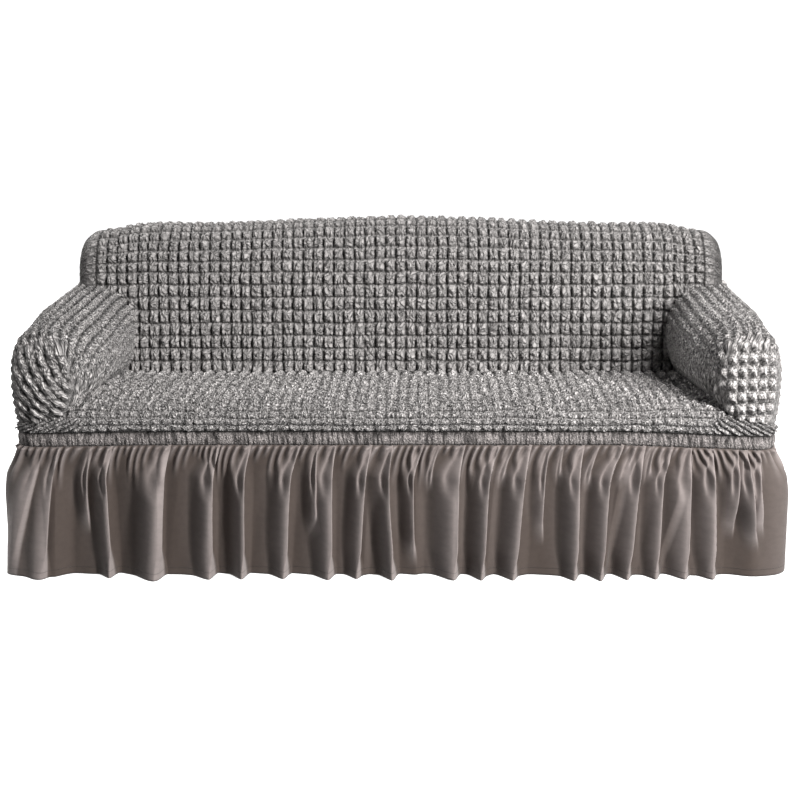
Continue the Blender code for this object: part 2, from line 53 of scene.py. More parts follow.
BODY_DEPTH = 0.88
ORIGIN_DEPTH = 0.426
WALL_HALF_WIDTH = 1.003
CORNER = 0.06
BAND_TOP = 0.4
BAND_HEIGHT = 0.036
BAND_BULGE = 0.0015
BAND_LIP = 0.022  # how far the band's upper edge turns in behind the cloth above it
BAND_COLUMNS, BAND_ROWS = 2230, 14
SHIRRING, SHIRRING_SINK = 0.0052, 0.0022  # height of the band's ribs, and how much lies inside
SHIRRING_PITCH, CROSSED_PITCH = 0.0054, 0.0085  # of its ribs, and of the slanted creases on them
BAND_SAG_LEFT = 0.006
BAND_SAG_RIGHT = 0.016
BAND_SAG_FROM = 0.6
SKIRT_FULL_BELOW = 0.42
SKIRT_DROP = 0.37
SIDE_FLARE = 0.03
SIDE_FLARE_BELOW = 0.25
FLARE_FADES = 0.08
CORNER_FLARE = 0.02
BACK_HALF_WIDTH = 0.962
BACK_FLAT = BACK_HALF_WIDTH - CORNER
REAR_FLARE = 0.054  # length over which the rear panel widens from the back's ends to the arms
BACK_CROWN = 0.02
CROWN_SPREAD = 0.65
END_DROOP = 0.02
DROOP_FROM = 0.76
CROWN_FROM = 0.69
LEDGE = 0.668
END_TUCK = 0.008
ARM_COVERS_FROM = 0.842
ARM_FOOT_REAR = 0.836
ARM_FOOT_FRONT = 0.862
ARM_TAPER_DEPTH = 0.35
CAP_FOOT_INNER = 0.89
CAP_FOOT_OUTER = 0.935
CAP_PUFF = 0.014
CAP_PUFF_LIFT = 0.12
CAP_FULL_LENGTH = 0.15
EDGE_LIMIT = 0.85
ARM_EDGE_INNER = 0.034
ARM_EDGE_TOP = 0.075
ARM_EDGE_OUTER = 0.06
STRIP_TOP = 0.436
STRIP_FADES_AT = 1.16
STRIP_END = 1.12
STRIP_BULGE = 0.006
BULGE_FADES = 0.2

SEAT_SECTION = (
    # name, then in millimetres its depth and height
    ("foot", 0, 400),
    ("bulge", -6, 418),
    ("strip", 0, 436),
    ("roll", 22, 449),
    ("front_crown", 80, 455),
    ("crown", 260, 452),
    ("rear", 480, 434),
    ("crease", 580, 420),
    ("tuck", 585, 420),
)

BACK_SECTION = (
    # name, then in millimetres its depth and height
    ("front_foot", 580, 420),
    ("front_low", 588, 520),
    ("front_mid", 598, 640),
    ("front_high", 618, 760),
    ("front_round", 650, 832),
    ("crest_front", 694, 862),
    ("crest", 740, 868),
    ("crest_rear", 795, 861),
    ("rear_round", 846, 832),
    ("rear_high", 874, 780),
    ("rear_mid", 880, 640),
    ("rear_foot", 880, 400),
)

ARM_SECTION = (
    # name, half-width and height where the arm is full, the same at its front edge
    ("inner_foot", 836, 430, 862, 450),
    ("inner_low", 806, 470, 846, 490),
    ("inner_bulge", 792, 545, 838, 545),
    ("inner_high", 803, 615, 842, 600),
    ("inner_round", 838, 659, 864, 645),
    ("top", 900, 678, 905, 665),
    ("top_outer", 955, 677, 952, 661),
    ("shoulder", 995, 655, 990, 638),
    ("outer_high", 1012, 610, 1008, 595),
    ("outer_mid", 1016, 520, 1014, 510),
    ("outer_low", 1011, 445, 1010, 445),
    ("outer_foot", 1003, 400, 1003, 400),
)

FRONT_FOLDS = (
    # millimetres: nose, reach, hollow, sink, lean
    (-962, 48, -940, 36, 10),
    (-915, 50, -845, -24, 20),
    (-772, -4, -728, -32, -5),
    (-652, 62, -605, -8, 14),
    (-505, 24, -472, -32, 14),
    (-416, 22, -383, -30, 22),
    (-308, 6, -272, -26, 30),
    (-190, 30, -150, -14, 6),
    (-92, 14, -66, -10, 26),
    (-12, 28, 18, -14, -12),
    (50, 8, 84, -20, 0),
    (156, 26, 182, -8, 16),
    (240, 38, 268, 0, 24),
    (322, 38, 364, 2, 20),
    (478, 42, 504, 6, 14),
    (553, 52, 574, -6, 42),
    (626, 26, 652, 6, 38),
    (696, 36, 720, -18, 52),
    (822, 34, 902, -6, -6),
    (965, 28, 1000, 14, -40),
)

MAIN_RIDGES = (
    # millimetres: right edge at the band, at 0.28 of the drop and at the hem, width and height,
    # and if it ends above the hem, at which thousandth of the drop
    (-881, -901, -935, 21, 8),
    (-928, -950, -999, 20, 4),
    (-798, -811, -823, 13, 8, 620),
    (-743, -756, -756, 19, 12),
    (-592, -604, -623, 53, 12),
    (-462, -476, -487, 32, 12),
    (-381, -394, -402, 21, 12),
    (-251, -274, -290, 27, 12),
    (-206, -208, -213, 13, 8, 700),
    (-157, -164, -168, 32, 12),
    (-63, -77, -96, 19, 12),
    (-8, -14, 0, 21, 14),
    (73, 49, 51, 13, 14, 850),
    (114, 93, 88, 11, 8, 300),
    (182, 169, 165, 43, 13),
    (271, 248, 237, 21, 14),
    (310, 282, 275, 11, 9, 280),
    (357, 340, 322, 27, 14),
    (404, 395, 386, 11, 10, 680),
    (440, 432, 432, 8, 8, 260),
    (495, 484, 485, 21, 14),
    (534, 510, 509, 11, 9, 300),
    (599, 563, 554, 21, 15),
    (633, 602, 594, 11, 9, 300),
    (656, 642, 626, 21, 14),
    (677, 668, 669, 11, 8, 250),
    (729, 705, 701, 16, 15),
    (776, 778, 781, 32, 12),
    (834, 841, 855, 24, 12),
    (899, 906, 882, 16, 13, 620),
    (922, 941, 967, 19, 12, 700),
    (956, 962, 980, 16, 10, 600),
)
GATHER_PITCH = 0.0195
GATHER_HEIGHT = 0.017
GATHER_LEAN = 0.03
GATHER_TURNS_AT = 0.78
# painted light: how much lighter the gathers are, the further they stand out
GATHER_PAINTED_LIGHT = 1.3
SWELL, SWELL_PITCH = 0.0035, 0.035  # height and width of the skirt's slow unevenness
SKIRT_GRID = {"front": (1100, 72), "side": (300, 40), "rear": (640, 40)}  # columns and rows
RIDGE_HEIGHT = 4.3
RIDGE_BEND = 0.28
RIDGE_GROWS = 0.24  # where in the drop a ridge is full
RIDGE_FADES = (0.3, 0.42)  # how far above its end it starts to die out, and over what drop
RIDGE_SPLIT = 0.45  # depth of the notch between the two strands that a ridge starts as
FLOOR_SINK = 0.02  # how far the recesses between the ridges lie back
RIDGE_SLIP = 0.45  # how far a ridge leans over the recess on its right
RECESS_PAINTED_SHADE = 0.03  # painted shade: how light the cloth is in the recesses, and how much the painted shade is lifted near the corners
CORNER_SHADE_LIFT = 0.25
LEE_PAINTED_LIGHT = 0.12  # painted light: how much lighter the cloth is in the cast shade of a ridge
FOLD_SHARE = 0.32  # share of the folds' reach that isn't in the ridges on them
FALL_WIDTH = 0.7  # share of the way from nose to hollow that the steep side takes

PLAIN_FOLDS = {
    # how many, mean reach, mean sink, unevenness, seed
    "side": (7, 0.016, -0.01, 0.01, 3.1),
    "rear": (18, 0.024, -0.016, 0.012, 8.7),
}
NOSE_AT = (0.45, 0.16)
HOLLOW_AFTER = (0.4, 0.1)
PLAIN_LEAN = 0.02
SINK_SPREAD = 0.6

# ---- the cloth

BACK_PITCH = (0.0306, 0.038)  # a bubble's width and height on the back
SEAT_PITCH = (0.028, 0.03)
STRIP_ROWS = 2.0  # rows of bubbles on the seat's front strip
STRIP_ROW = 0.018
ROPE_TWIST = 1.6  # how far those rows twist under the arms' fronts, bubbles a row
ROPE_FROM, ROPE_BY = 0.78, 0.08  # where along the strip they start to twist, and over what length
ROPE_LOOK_FROM, ROPE_LOOK_BY = 0.8, 0.06  # and where their bubbles become the twists' strands
SEAT_UNDER_ARM = 0.01  # how far the seat's cloth runs in under the arms
TONGUE = (0.93, 0.09)  # where the deck's cloth is cut off in front of the arms: x and depth
ARM_PITCH = (0.027, 0.033)
ARM_BUBBLE = 0.012
OUTER_BUBBLE = 0.45  # share of that on the arms' outer sides
SOFT_EDGE = 0.04  # how much rounder the cloth turns from an arm's inner side to its front
ARM_ROWS, ARM_TURN_ROWS, CAP_ROWS = 145, 36, 78
ARM_ROWS_BUNCH = 0.9  # below 1, the arm's rows lie closer together at its front
RIB_BEND = 3.0
RIB_DROP = 0.4
CAP_SLANT = {-1.0: 2.6, 1.0: 0.0}  # how far the left front's columns bend towards the seat
RIB_PAINTED_LIGHT = {-1.0: 1.06, 1.0: 1.2}  # painted light: how much lighter the ribs are on the left and the right arm
CRISPNESS = {-1.0: 0.45, 1.0: 0.9}
PEAK_AT = 0.28  # how far down each pyramid of the right front its peak lies
FACE_LIT, FACE_SHADED = 1.18, 0.36  # painted light on a pyramid's upper faces and painted shade on its lower faces
CAP_HEIGHT = 1.35  # how much taller the bubbles are on the arms' fronts
PLAIN_BELOW, PLAIN_BY = 0.2, 0.1  # along the arm's section, where its inner side grows plain
PLAIN_SHARE = 0.65
PLAIN_RELIEF = 0.6
CROSS_CREASES = 4.0  # small creases across a rib, to a bubble's length
CROSS_DEPTH = 0.22
RIBS_FROM = 0.58  # depth from which the ribs are measured forward
KNOBS_FROM, KNOBS_BY = 0.34, 0.14  # how far forward they turn into bubbles, and over what length
CAP_TOP, CAP_MIDDLE = 0.665, 0.905  # height and x from which the fronts' bubbles are counted
CAP_FIRST = 0.505  # length along the arm at which they start
CAP_ARCH, ARCH_MIDDLE = 0.9, 0.93  # their rows' arch, and its middle
PEAK_SLANT = 1.4
CAP_ROW = {-1.0: 0.046, 1.0: 0.033}
BUBBLE_HEIGHT = 0.0165
SEAT_BUBBLE = 0.011
END_BUBBLE = 0.006
SCALLOPS_FROM = 0.84  # share of the seat's section, at whose rear the bubbles swell into scallops
SCALLOP_PITCH = 0.0345
SCALLOP_SHAPE = (0.3, 1.3)  # height between the scallops, and how much more they have
# painted shading of the seat's rear scallops: painted shade between them, painted light on them
SCALLOP_PAINTED_SHADING = (0.1, 1.45)
SCALLOP_CREASED = 0.2  # share of the seat's own bubbles that shows on them
REAR_PAINTED_LIGHT = 0.22  # painted light: how much lighter the seat's cloth is towards its rear
BUBBLE_SINK = 0.4  # share of the height that lies inside the frame's surface
TUCK = 0.008  # how far a cloth's edge turns in behind its neighbour
FLANGE, FLANGE_DROP = 0.034, 0.022  # the foot of a back end, spread out and down under the arm
CREST_HEIGHT = 0.6  # share of the height that is left on top of the back
UNDER_PAINTED_SHADE = 0.75  # painted shade: how dark the line under each bubble is
# painted shade in the crumples' creases
CREASE_PAINTED_SHADE = 0.6
LOWEST, TALLER = 0.84, 0.32  # the lowest bubble's height, and how much taller others are
TILT_ACROSS, TILT_ALONG, TILT_EVEN = 0.7, 0.6, 0.4  # how bubbles tilt, and where they don't

LOOKS = {
    # wander, then how far across and along a bubble its steep and its gentle flanks reach,
    # depth across, depth along, sharpness, crumple, darkness of the painted shade between and under
    # them
    "back": (0.075, 0.17, 0.36, 0.22, 0.3, 1.0, 1.0, 0.25, 0.95, 1.0),
    "seat": (0.15, 0.22, 0.4, 0.26, 0.4, 0.45, 1.0, 0.25, 1.1, 1.05),
    "strip": (0.12, 0.24, 0.4, 0.3, 0.4, 0.45, 0.95, 0.25, 1.0, 0.7),
    "rope": (0.1, 0.24, 0.4, 0.3, 0.4, 1.0, 0.35, 0.25, 0.6, 1.1),
    "end": (0.08, 0.25, 0.4, 0.3, 0.36, 0.8, 0.7, 0.25, 0.8, 0.8),
    "pyramid": (0.04, 0.5, 0.46, 0.5, 0.46, 1.0, 1.0, 0.85, 0.18, 0.8),
    "leaf": (0.06, 0.34, 0.5, 0.45, 0.5, 1.0, 0.9, 0.5, 0.3, 1.1),
    "rib": (0.05, 0.24, 0.42, 0.3, 0.4, 1.0, 0.25, 0.3, 0.6, 1.1),
    "soft_rib": (0.05, 0.3, 0.45, 0.3, 0.4, 0.65, 0.25, 0.3, 0.6, 0.6),
}

# ---- floor, light and camera

LAMPS = {
    # power, width and height, place, aim: the key is a tall narrow softbox
    "key": (620.0, (0.45, 4.6), (2.8, -3.3, 3.0), (0.0, -0.2, 0.45)),
    "side_fill": (75.0, (2.0, 1.6), (-4.4, 0.35, 1.9), (0.8, 0.0, 0.55)),
    "rear_fill": (170.0, (3.0, 1.6), (-1.6, 2.7, 2.1), (0.0, 0.45, 0.45)),
}
LAMP_COLOUR = (1.0, 0.99, 0.98)
SKY = 0.13
FLOOR_GLOW = 0.93
FLOOR_LEVEL = -0.0015
FLOOR_SIDE, FLOOR_REACH = 14.0, 12.0  # how far it runs to each side, and forward and up
TURN_FROM, TURN = 9.0, 2.0  # where behind the object it starts to turn up, and the turn's radius
FOCAL, PICTURE = 1503.0, 800.0  # focal length and width of the picture, both in its pixels
CENTRE_RIGHT = 32.6  # how far right of its middle the lens looks straight ahead
CAMERA_AT = (0.095, -3.8 - ORIGIN_DEPTH, 1.44)
CAMERA_DOWN = 14.1  # degrees


def ease(t):
    t = np.clip(t, 0.0, 1.0)
    return t * t * (3 - 2 * t)


def uneven(index, seed):
    """A fixed number between -1 and 1 for each index, so that repeated folds differ."""
    return math.sin(index * 12.9898 + seed * 78.233) * math.cos(index * 4.1414 + seed)


def chance(i, j, k):
    """A fixed number between 0 and 1 for each cell i, j and each kind k."""
    mixed = np.sin(i * 127.1 + j * 311.7 + k * 74.7) * 43758.5453
    return mixed - np.floor(mixed)


def soft_noise(u, v, kind):
    """Smooth noise between -1 and 1, one swell for each unit of u and v."""
    i, j = np.floor(u), np.floor(v)
    a, b = ease(u - i), ease(v - j)
    low = chance(i, j, kind) * (1 - a) + chance(i + 1, j, kind) * a
    high = chance(i, j + 1, kind) * (1 - a) + chance(i + 1, j + 1, kind) * a
    return 2 * (low * (1 - b) + high * b) - 1


class Curve:
    """A smooth line through a section's rows, in metres, read by its share of length, 0 to 1."""

    def __init__(self, rows, first=1):
        self.names = [row[0] for row in rows]
        self.points = np.array([row[first : first + 2] for row in rows]) / 1000
        steps = np.linalg.norm(np.diff(self.points, axis=0), axis=1)
        self.length = steps.sum()
        self.at = np.concatenate([[0], np.cumsum(steps)]) / self.length
        self.slopes = np.gradient(self.points, self.at, axis=0)

    def point(self, t):
        t = np.asarray(t, float)
        i = np.clip(np.searchsorted(self.at, t) - 1, 0, len(self.at) - 2)
        span = self.at[i + 1] - self.at[i]
        u = ((t - self.at[i]) / span)[..., None]
        span = span[..., None]
        start, end = self.points[i], self.points[i + 1]
        leave, arrive = self.slopes[i] * span, self.slopes[i + 1] * span
        return (
            start * (2 * u**3 - 3 * u**2 + 1)
            + leave * (u**3 - 2 * u**2 + u)
            + end * (3 * u**2 - 2 * u**3)
            + arrive * (u**3 - u**2)
        )

    def share(self, name):
        """The share at which a named row lies."""
        return float(self.at[self.names.index(name)])

    def share_at(self, axis, value, low=0.0, high=1.0):
        """The share between low and high at which one coordinate, steady there, reaches a value."""
        shares = np.linspace(low, high, SAMPLES)
        values = self.point(shares)[:, axis]
        if values[-1] < values[0]:
            shares, values = shares[::-1], values[::-1]
        return np.interp(value, values, shares)


SEAT = Curve(SEAT_SECTION)
BACK = Curve(BACK_SECTION)
ARM_FULL = Curve(ARM_SECTION)
ARM_FRONT = Curve(ARM_SECTION, 3)


def wall(s):
    """The wall line, s metres from the middle of the front: x, depth and the outward direction."""
    side = np.where(s < 0, -1.0, 1.0)
    rest = np.abs(s)
    flat = WALL_HALF_WIDTH - CORNER
    turn = CORNER * PI / 2
    along = BODY_DEPTH - 2 * CORNER
    a = np.clip((rest - flat) / CORNER, 0, PI / 2)
    b = np.clip((rest - flat - turn - along) / CORNER, 0, PI / 2)
    run = np.clip(rest - flat - turn, 0, along)
    rear = np.maximum(rest - flat - 2 * turn - along, 0)
    x = np.minimum(rest, flat) + CORNER * np.sin(a) - CORNER * (1 - np.cos(b)) - rear
    depth = CORNER * (1 - np.cos(a)) + run + CORNER * np.sin(b)
    return side * x, depth, side * np.sin(a) * np.cos(b), np.sin(b) - np.cos(a)


FRONT_CORNER = WALL_HALF_WIDTH - CORNER + CORNER * PI / 2
REAR_CORNER = FRONT_CORNER + BODY_DEPTH - 2 * CORNER
HALF_ROUND = REAR_CORNER + FRONT_CORNER


def band_top(x):
    sag = np.where(x > 0, BAND_SAG_RIGHT, BAND_SAG_LEFT)
    past = (np.abs(x) - BAND_SAG_FROM) / (WALL_HALF_WIDTH - BAND_SAG_FROM)
    return BAND_TOP - sag * np.maximum(past, 0.0)


def strip_top(s):
    low = band_top(wall(s)[0])
    fade = (np.abs(s) - ARM_FOOT_FRONT) / (STRIP_FADES_AT - ARM_FOOT_FRONT)
    return low + (STRIP_TOP - low) * (1 - ease(fade))


def arm_foot(depth):
    front = 1 - ease(depth / ARM_TAPER_DEPTH)
    return ARM_FOOT_REAR + (ARM_FOOT_FRONT - ARM_FOOT_REAR) * front


def together(*parts):
    return np.stack(np.broadcast_arrays(*parts), axis=-1)


def place(x, depth, height):
    return together(x, depth - ORIGIN_DEPTH, height)


def back_point(x, share):
    """The back's outer face between its two ends, with the crown along its top."""
    section = BACK.point(share)
    depth, height = section[..., 0], section[..., 1]
    crest = BACK.points[:, 1].max()
    drop = BACK_CROWN * ease(np.abs(x) / CROWN_SPREAD)
    drop = drop + END_DROOP * ease((np.abs(x) - DROOP_FROM) / (BACK_FLAT - DROOP_FROM))
    return x, depth, height - drop * ease((height - CROWN_FROM) / (crest - CROWN_FROM))


# ---- bubbles


def puff(t, steep, gentle, sharp):
    """The profile of a bubble across one of its sides: up its steep flank from the puckered line at
    0, full, and down its gentle flank to the line at 1."""
    part = np.clip(np.minimum(t / steep, (1 - t) / gentle), 0, 1)
    return sharp * part + (1 - sharp) * ease(part)


def valley(noise, width):
    """1 along the lines where a noise passes through 0, falling to 0 beside them."""
    return np.clip(1 - np.abs(noise) / width, 0, 1) ** 1.5


def crumples(u, v, seed):
    """Creases in the cloth, mostly upright, from 0 where it is smooth to 1 in a crease."""
    drift = 0.35 * soft_noise(u * 0.9, v * 0.9, seed + 20)
    upright = valley(soft_noise(u * 1.9 + drift, v * 1.0 + 0.5 * u, seed + 21), 0.3)
    slanted = valley(soft_noise(u * 1.5 - 1.1 * v, v * 1.3 + 0.7 * u, seed + 22), 0.26)
    small = valley(soft_noise(u * 3.1 + 0.6 * v, v * 2.7 - 0.4 * u, seed + 23), 0.35)
    strong = 0.5 + 0.5 * soft_noise(u * 0.8, v * 0.8, seed + 24)
    large = np.maximum(upright * (0.35 + 0.65 * strong), slanted * (1 - 0.6 * strong))
    return 0.75 * large + 0.25 * small


def bubbles(u, v, seed, look):
    """The bubble cloth's height, from 0 in its puckered lines to about 1 on a bubble, and its
    painted
    shading: painted shade from 0 deep between two neighbours in a row to 1 on the bubbles and
    between the rows, with more painted shade under each bubble and in the creases."""
    wander, steep_u, gentle_u, steep_v, gentle_v, depth_u, depth_v, sharp, crumple, dark = look
    u = u + wander * soft_noise(u * 0.8, v * 0.8, seed + 1)
    v = v + wander * soft_noise(u * 0.8, v * 0.8, seed + 2)
    i, j = np.floor(u), np.floor(v)
    a, b = u - i, v - j
    i = i + seed * 17.0
    across = 1 - depth_u * (1 - puff(a, steep_u, gentle_u, sharp))
    along = 1 - depth_v * (1 - puff(b, steep_v, gentle_v, sharp))
    level = LOWEST + TALLER * chance(i, j, 3.0)
    lean_a = (chance(i, j, 4.0) - TILT_EVEN) * TILT_ACROSS
    lean_b = (chance(i, j, 5.0) - TILT_EVEN) * TILT_ALONG
    shape = across * along * (level + lean_a * (a - 0.5) + lean_b * (b - 0.5))
    folded = crumples(u, v, seed)
    # painted shade deep between neighbours in a row, along a line under each bubble, and in the
    # creases
    between = (1 - puff(a, steep_u, 0.6 * gentle_u, sharp)) * puff(b, 0.24, 0.22, sharp)
    under = 1 - ease(np.abs(b - 0.08) / 0.1)
    painted_shading = 1 - dark * np.clip(depth_u * between + UNDER_PAINTED_SHADE * depth_v * under, 0, 1 / max(dark, 1))
    return np.array([shape * (1 - crumple * folded), painted_shading * (1 - CREASE_PAINTED_SHADE * crumple * folded)])


def spread(count, steps):
    """Places along count bubbles, closer together beside the puckered lines."""
    even = np.arange(steps) / steps
    share = even - 0.3 * np.sin(2 * PI * even) / (2 * PI)
    inner = (np.arange(int(math.ceil(count)))[:, None] + share[None, :]).ravel()
    inner = inner[inner < count - 0.02]
    return np.append(inner, count)


# ---- meshes


def add_object(name, data):
    made = bpy.data.objects.new(name, data)
    bpy.context.scene.collection.objects.link(made)
    return made


def normals_of(points):
    across = np.gradient(points, axis=1)
    along = np.gradient(points, axis=0)
    normal = np.cross(across, along)
    length = np.linalg.norm(normal, axis=2, keepdims=True)
    return normal / np.maximum(length, 1e-12)


FIRST_ROW, LAST_ROW, FIRST_COLUMN, LAST_COLUMN = (0, 0), (0, -1), (1, 0), (1, -1)
ALL_ROUND = (FIRST_ROW, LAST_ROW, FIRST_COLUMN, LAST_COLUMN)


def turned_in(points, blocks, edges):
    """One more row or column of points at each of the edges, turned in behind the neighbouring
    cloth, and the same of each block of values that goes with the points."""
    for axis, end in edges:
        inward = np.take(points - TUCK * normals_of(points), [end], axis)
        grown = []
        edges_of = [inward] + [np.take(block, [end], axis) for block in blocks]
        for block, edge in zip([points, *blocks], edges_of):
            grown.append(np.concatenate([edge, block] if end == 0 else [block, edge], axis))
        points, blocks = grown[0], grown[1:]
    return points, blocks


def make_sheet(
    node, finish, points, cloth, painted_shading, keep=None, closed=False, tuck=ALL_ROUND, crisp=None
):
    """The cloth of a node, from rows and columns of points, with cloth coordinates in metres.
    Its material reads the painted shading, 0 for painted shade in the darkest hollow and 1 in full
    colour, as "relief", and how much flatter its creases are, from 0 to 1, as "crisp"."""
    keep = np.ones(points.shape[:2], bool) if keep is None else keep
    crisp = np.zeros(points.shape[:2]) if crisp is None else crisp
    points, (cloth, painted_shading, keep, crisp) = turned_in(points, (cloth, painted_shading, keep, crisp), tuck)
    rows, columns = points.shape[:2]
    index = np.arange(rows * columns).reshape(rows, columns)
    if closed:
        index = np.concatenate([index, index[:, :1]], axis=1)
    quads = np.stack([index[:-1, :-1], index[:-1, 1:], index[1:, 1:], index[1:, :-1]], axis=-1)
    full = np.concatenate([keep, keep[:, :1]], axis=1) if closed else keep
    quads = quads[full[:-1, :-1] & full[:-1, 1:] & full[1:, 1:] & full[1:, :-1]].reshape(-1, 4)
    used = np.unique(quads)
    renumber = np.full(rows * columns, -1)
    renumber[used] = np.arange(len(used))
    quads = renumber[quads]
    name = node.removesuffix("_panel") + "_cloth"
    mesh = bpy.data.meshes.new(name)
    mesh.vertices.add(len(used))
    mesh.vertices.foreach_set("co", points.reshape(-1, 3)[used].astype(np.float32).ravel())
    mesh.loops.add(quads.size)
    mesh.loops.foreach_set("vertex_index", quads.astype(np.int32).ravel())
    mesh.polygons.add(len(quads))
    mesh.polygons.foreach_set("loop_start", np.arange(0, quads.size, 4, dtype=np.int32))
    mesh.update(calc_edges=True)
    layer = mesh.uv_layers.new(name="cloth")
    flat = cloth.reshape(-1, 2)[used]
    layer.data.foreach_set("uv", flat[quads.ravel()].astype(np.float32).ravel())
    # the "relief" attribute carries the painted shading
    for attribute, values in (("relief", painted_shading), ("crisp", crisp)):
        layer = mesh.attributes.new(attribute, "FLOAT", "POINT")
        layer.data.foreach_set("value", values.reshape(-1)[used].astype(np.float32))
    mesh.shade_smooth()
    mesh.validate()
    mesh.materials.append(CLOTHS[finish])
    piece = add_object(name, mesh)
    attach(piece, "root")
    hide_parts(node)


def seam_fade(distance, width=0.012):
    """0 at a seam and 1 further than a width from it."""
    return ease(np.maximum(distance, 0) / width)


def bubble_surface(points, cells, fade, height):
    """The points moved out by the bubbles, and their painted shading. The fade scales both, so the
    painted shade is darkest where the fade is 0.
    """
    relief, painted_shading = cells * fade
    lift = height * (relief - BUBBLE_SINK * fade)
    return points + normals_of(points) * lift[..., None], painted_shading


# ---- back


def build_back_inside():
    seam = BACK.share("crest_rear")
    rows = seam * BACK.length / BACK_PITCH[1]
    columns = 2 * BACK_FLAT / BACK_PITCH[0]
    v, u = np.meshgrid(spread(rows, 9), spread(columns, 9), indexing="ij")
    x = u * BACK_PITCH[0] - BACK_FLAT
    share = v * BACK_PITCH[1] / BACK.length
    points = place(*back_point(x, share))
    fade = seam_fade(BACK_FLAT - np.abs(x), 0.01) * seam_fade((rows - v) * BACK_PITCH[1], 0.008)
    round_from = BACK.share("front_round")
    height = BUBBLE_HEIGHT * (1 - (1 - CREST_HEIGHT) * ease((share - round_from) / 0.05))
    points, painted_shading = bubble_surface(points, bubbles(u, v, 1.0, LOOKS["back"]), fade, height)
    hidden = BACK.share_at(1, LEDGE - 0.02, 0.0, round_from)
    keep = (np.abs(x) < ARM_COVERS_FROM + 0.01) | (share > hidden)
    cloth = together(u * BACK_PITCH[0], v * BACK_PITCH[1])
    tuck = (FIRST_ROW,)
    make_sheet("back_inside", "bubble_cloth", points, cloth, painted_shading, keep, tuck=tuck)


def build_back_outside():
    seam = BACK.share("crest_rear")
    rear = BACK.share("rear_high")
    ledge = BACK.share_at(1, LEDGE, rear, 1.0)
    rows = (1 - seam) * BACK.length / BACK_PITCH[1]
    v = spread(rows, 6)
    share = 1 - v * BACK_PITCH[1] / BACK.length
    section = BACK.point(share)
    outer = (ARM_FULL.share("top_outer"), ARM_FULL.share("outer_foot"))
    arm_height = np.clip(section[:, 1], BAND_TOP, LEDGE)
    half = ARM_FULL.point(ARM_FULL.share_at(1, arm_height, *outer))[:, 0]
    ring = BACK_FLAT + REAR_FLARE + CORNER * PI / 2
    u = spread(2 * ring / BACK_PITCH[0], 6)
    r = u * BACK_PITCH[0] - ring
    straight = half[:, None] - CORNER
    reach = np.minimum(np.abs(r)[None, :], BACK_FLAT)
    past = np.clip((np.abs(r) - BACK_FLAT) / REAR_FLARE, 0, 1)[None, :]
    x = reach + (straight - BACK_FLAT) * past
    a = np.clip((np.abs(r) - BACK_FLAT - REAR_FLARE) / CORNER, 0, PI / 2)[None, :]
    depth, height = back_point(np.minimum(x, BACK_FLAT), share[:, None] + 0 * x)[1:]
    x = np.sign(r)[None, :] * (x + CORNER * np.sin(a))
    depth = depth - CORNER * (1 - np.cos(a))
    low = band_top(x)
    height = np.where(v[:, None] == 0, low, height)
    rise = np.clip((height - BAND_TOP) / (LEDGE - BAND_TOP), 0, 1)
    height = np.where(height < LEDGE, low + (LEDGE - low) * rise, height)
    points = place(x, depth, height)
    uu, vv = np.meshgrid(u, v)
    fade = seam_fade((rows - vv) * BACK_PITCH[1], 0.008)
    points = points[:, ::-1]
    uu, vv, fade = uu[:, ::-1], vv[:, ::-1], fade[:, ::-1]
    cells = bubbles(uu, vv, 2.0, LOOKS["back"])
    points, painted_shading = bubble_surface(points, cells, fade, BUBBLE_HEIGHT)
    keep = ((np.abs(x) < BACK_FLAT + 0.004) | (share[:, None] >= ledge))[:, ::-1]
    cloth = together(uu * BACK_PITCH[0], vv * BACK_PITCH[1])
    tuck = (FIRST_ROW, FIRST_COLUMN, LAST_COLUMN)
    make_sheet("back_outside", "bubble_cloth", points, cloth, painted_shading, keep, tuck=tuck)


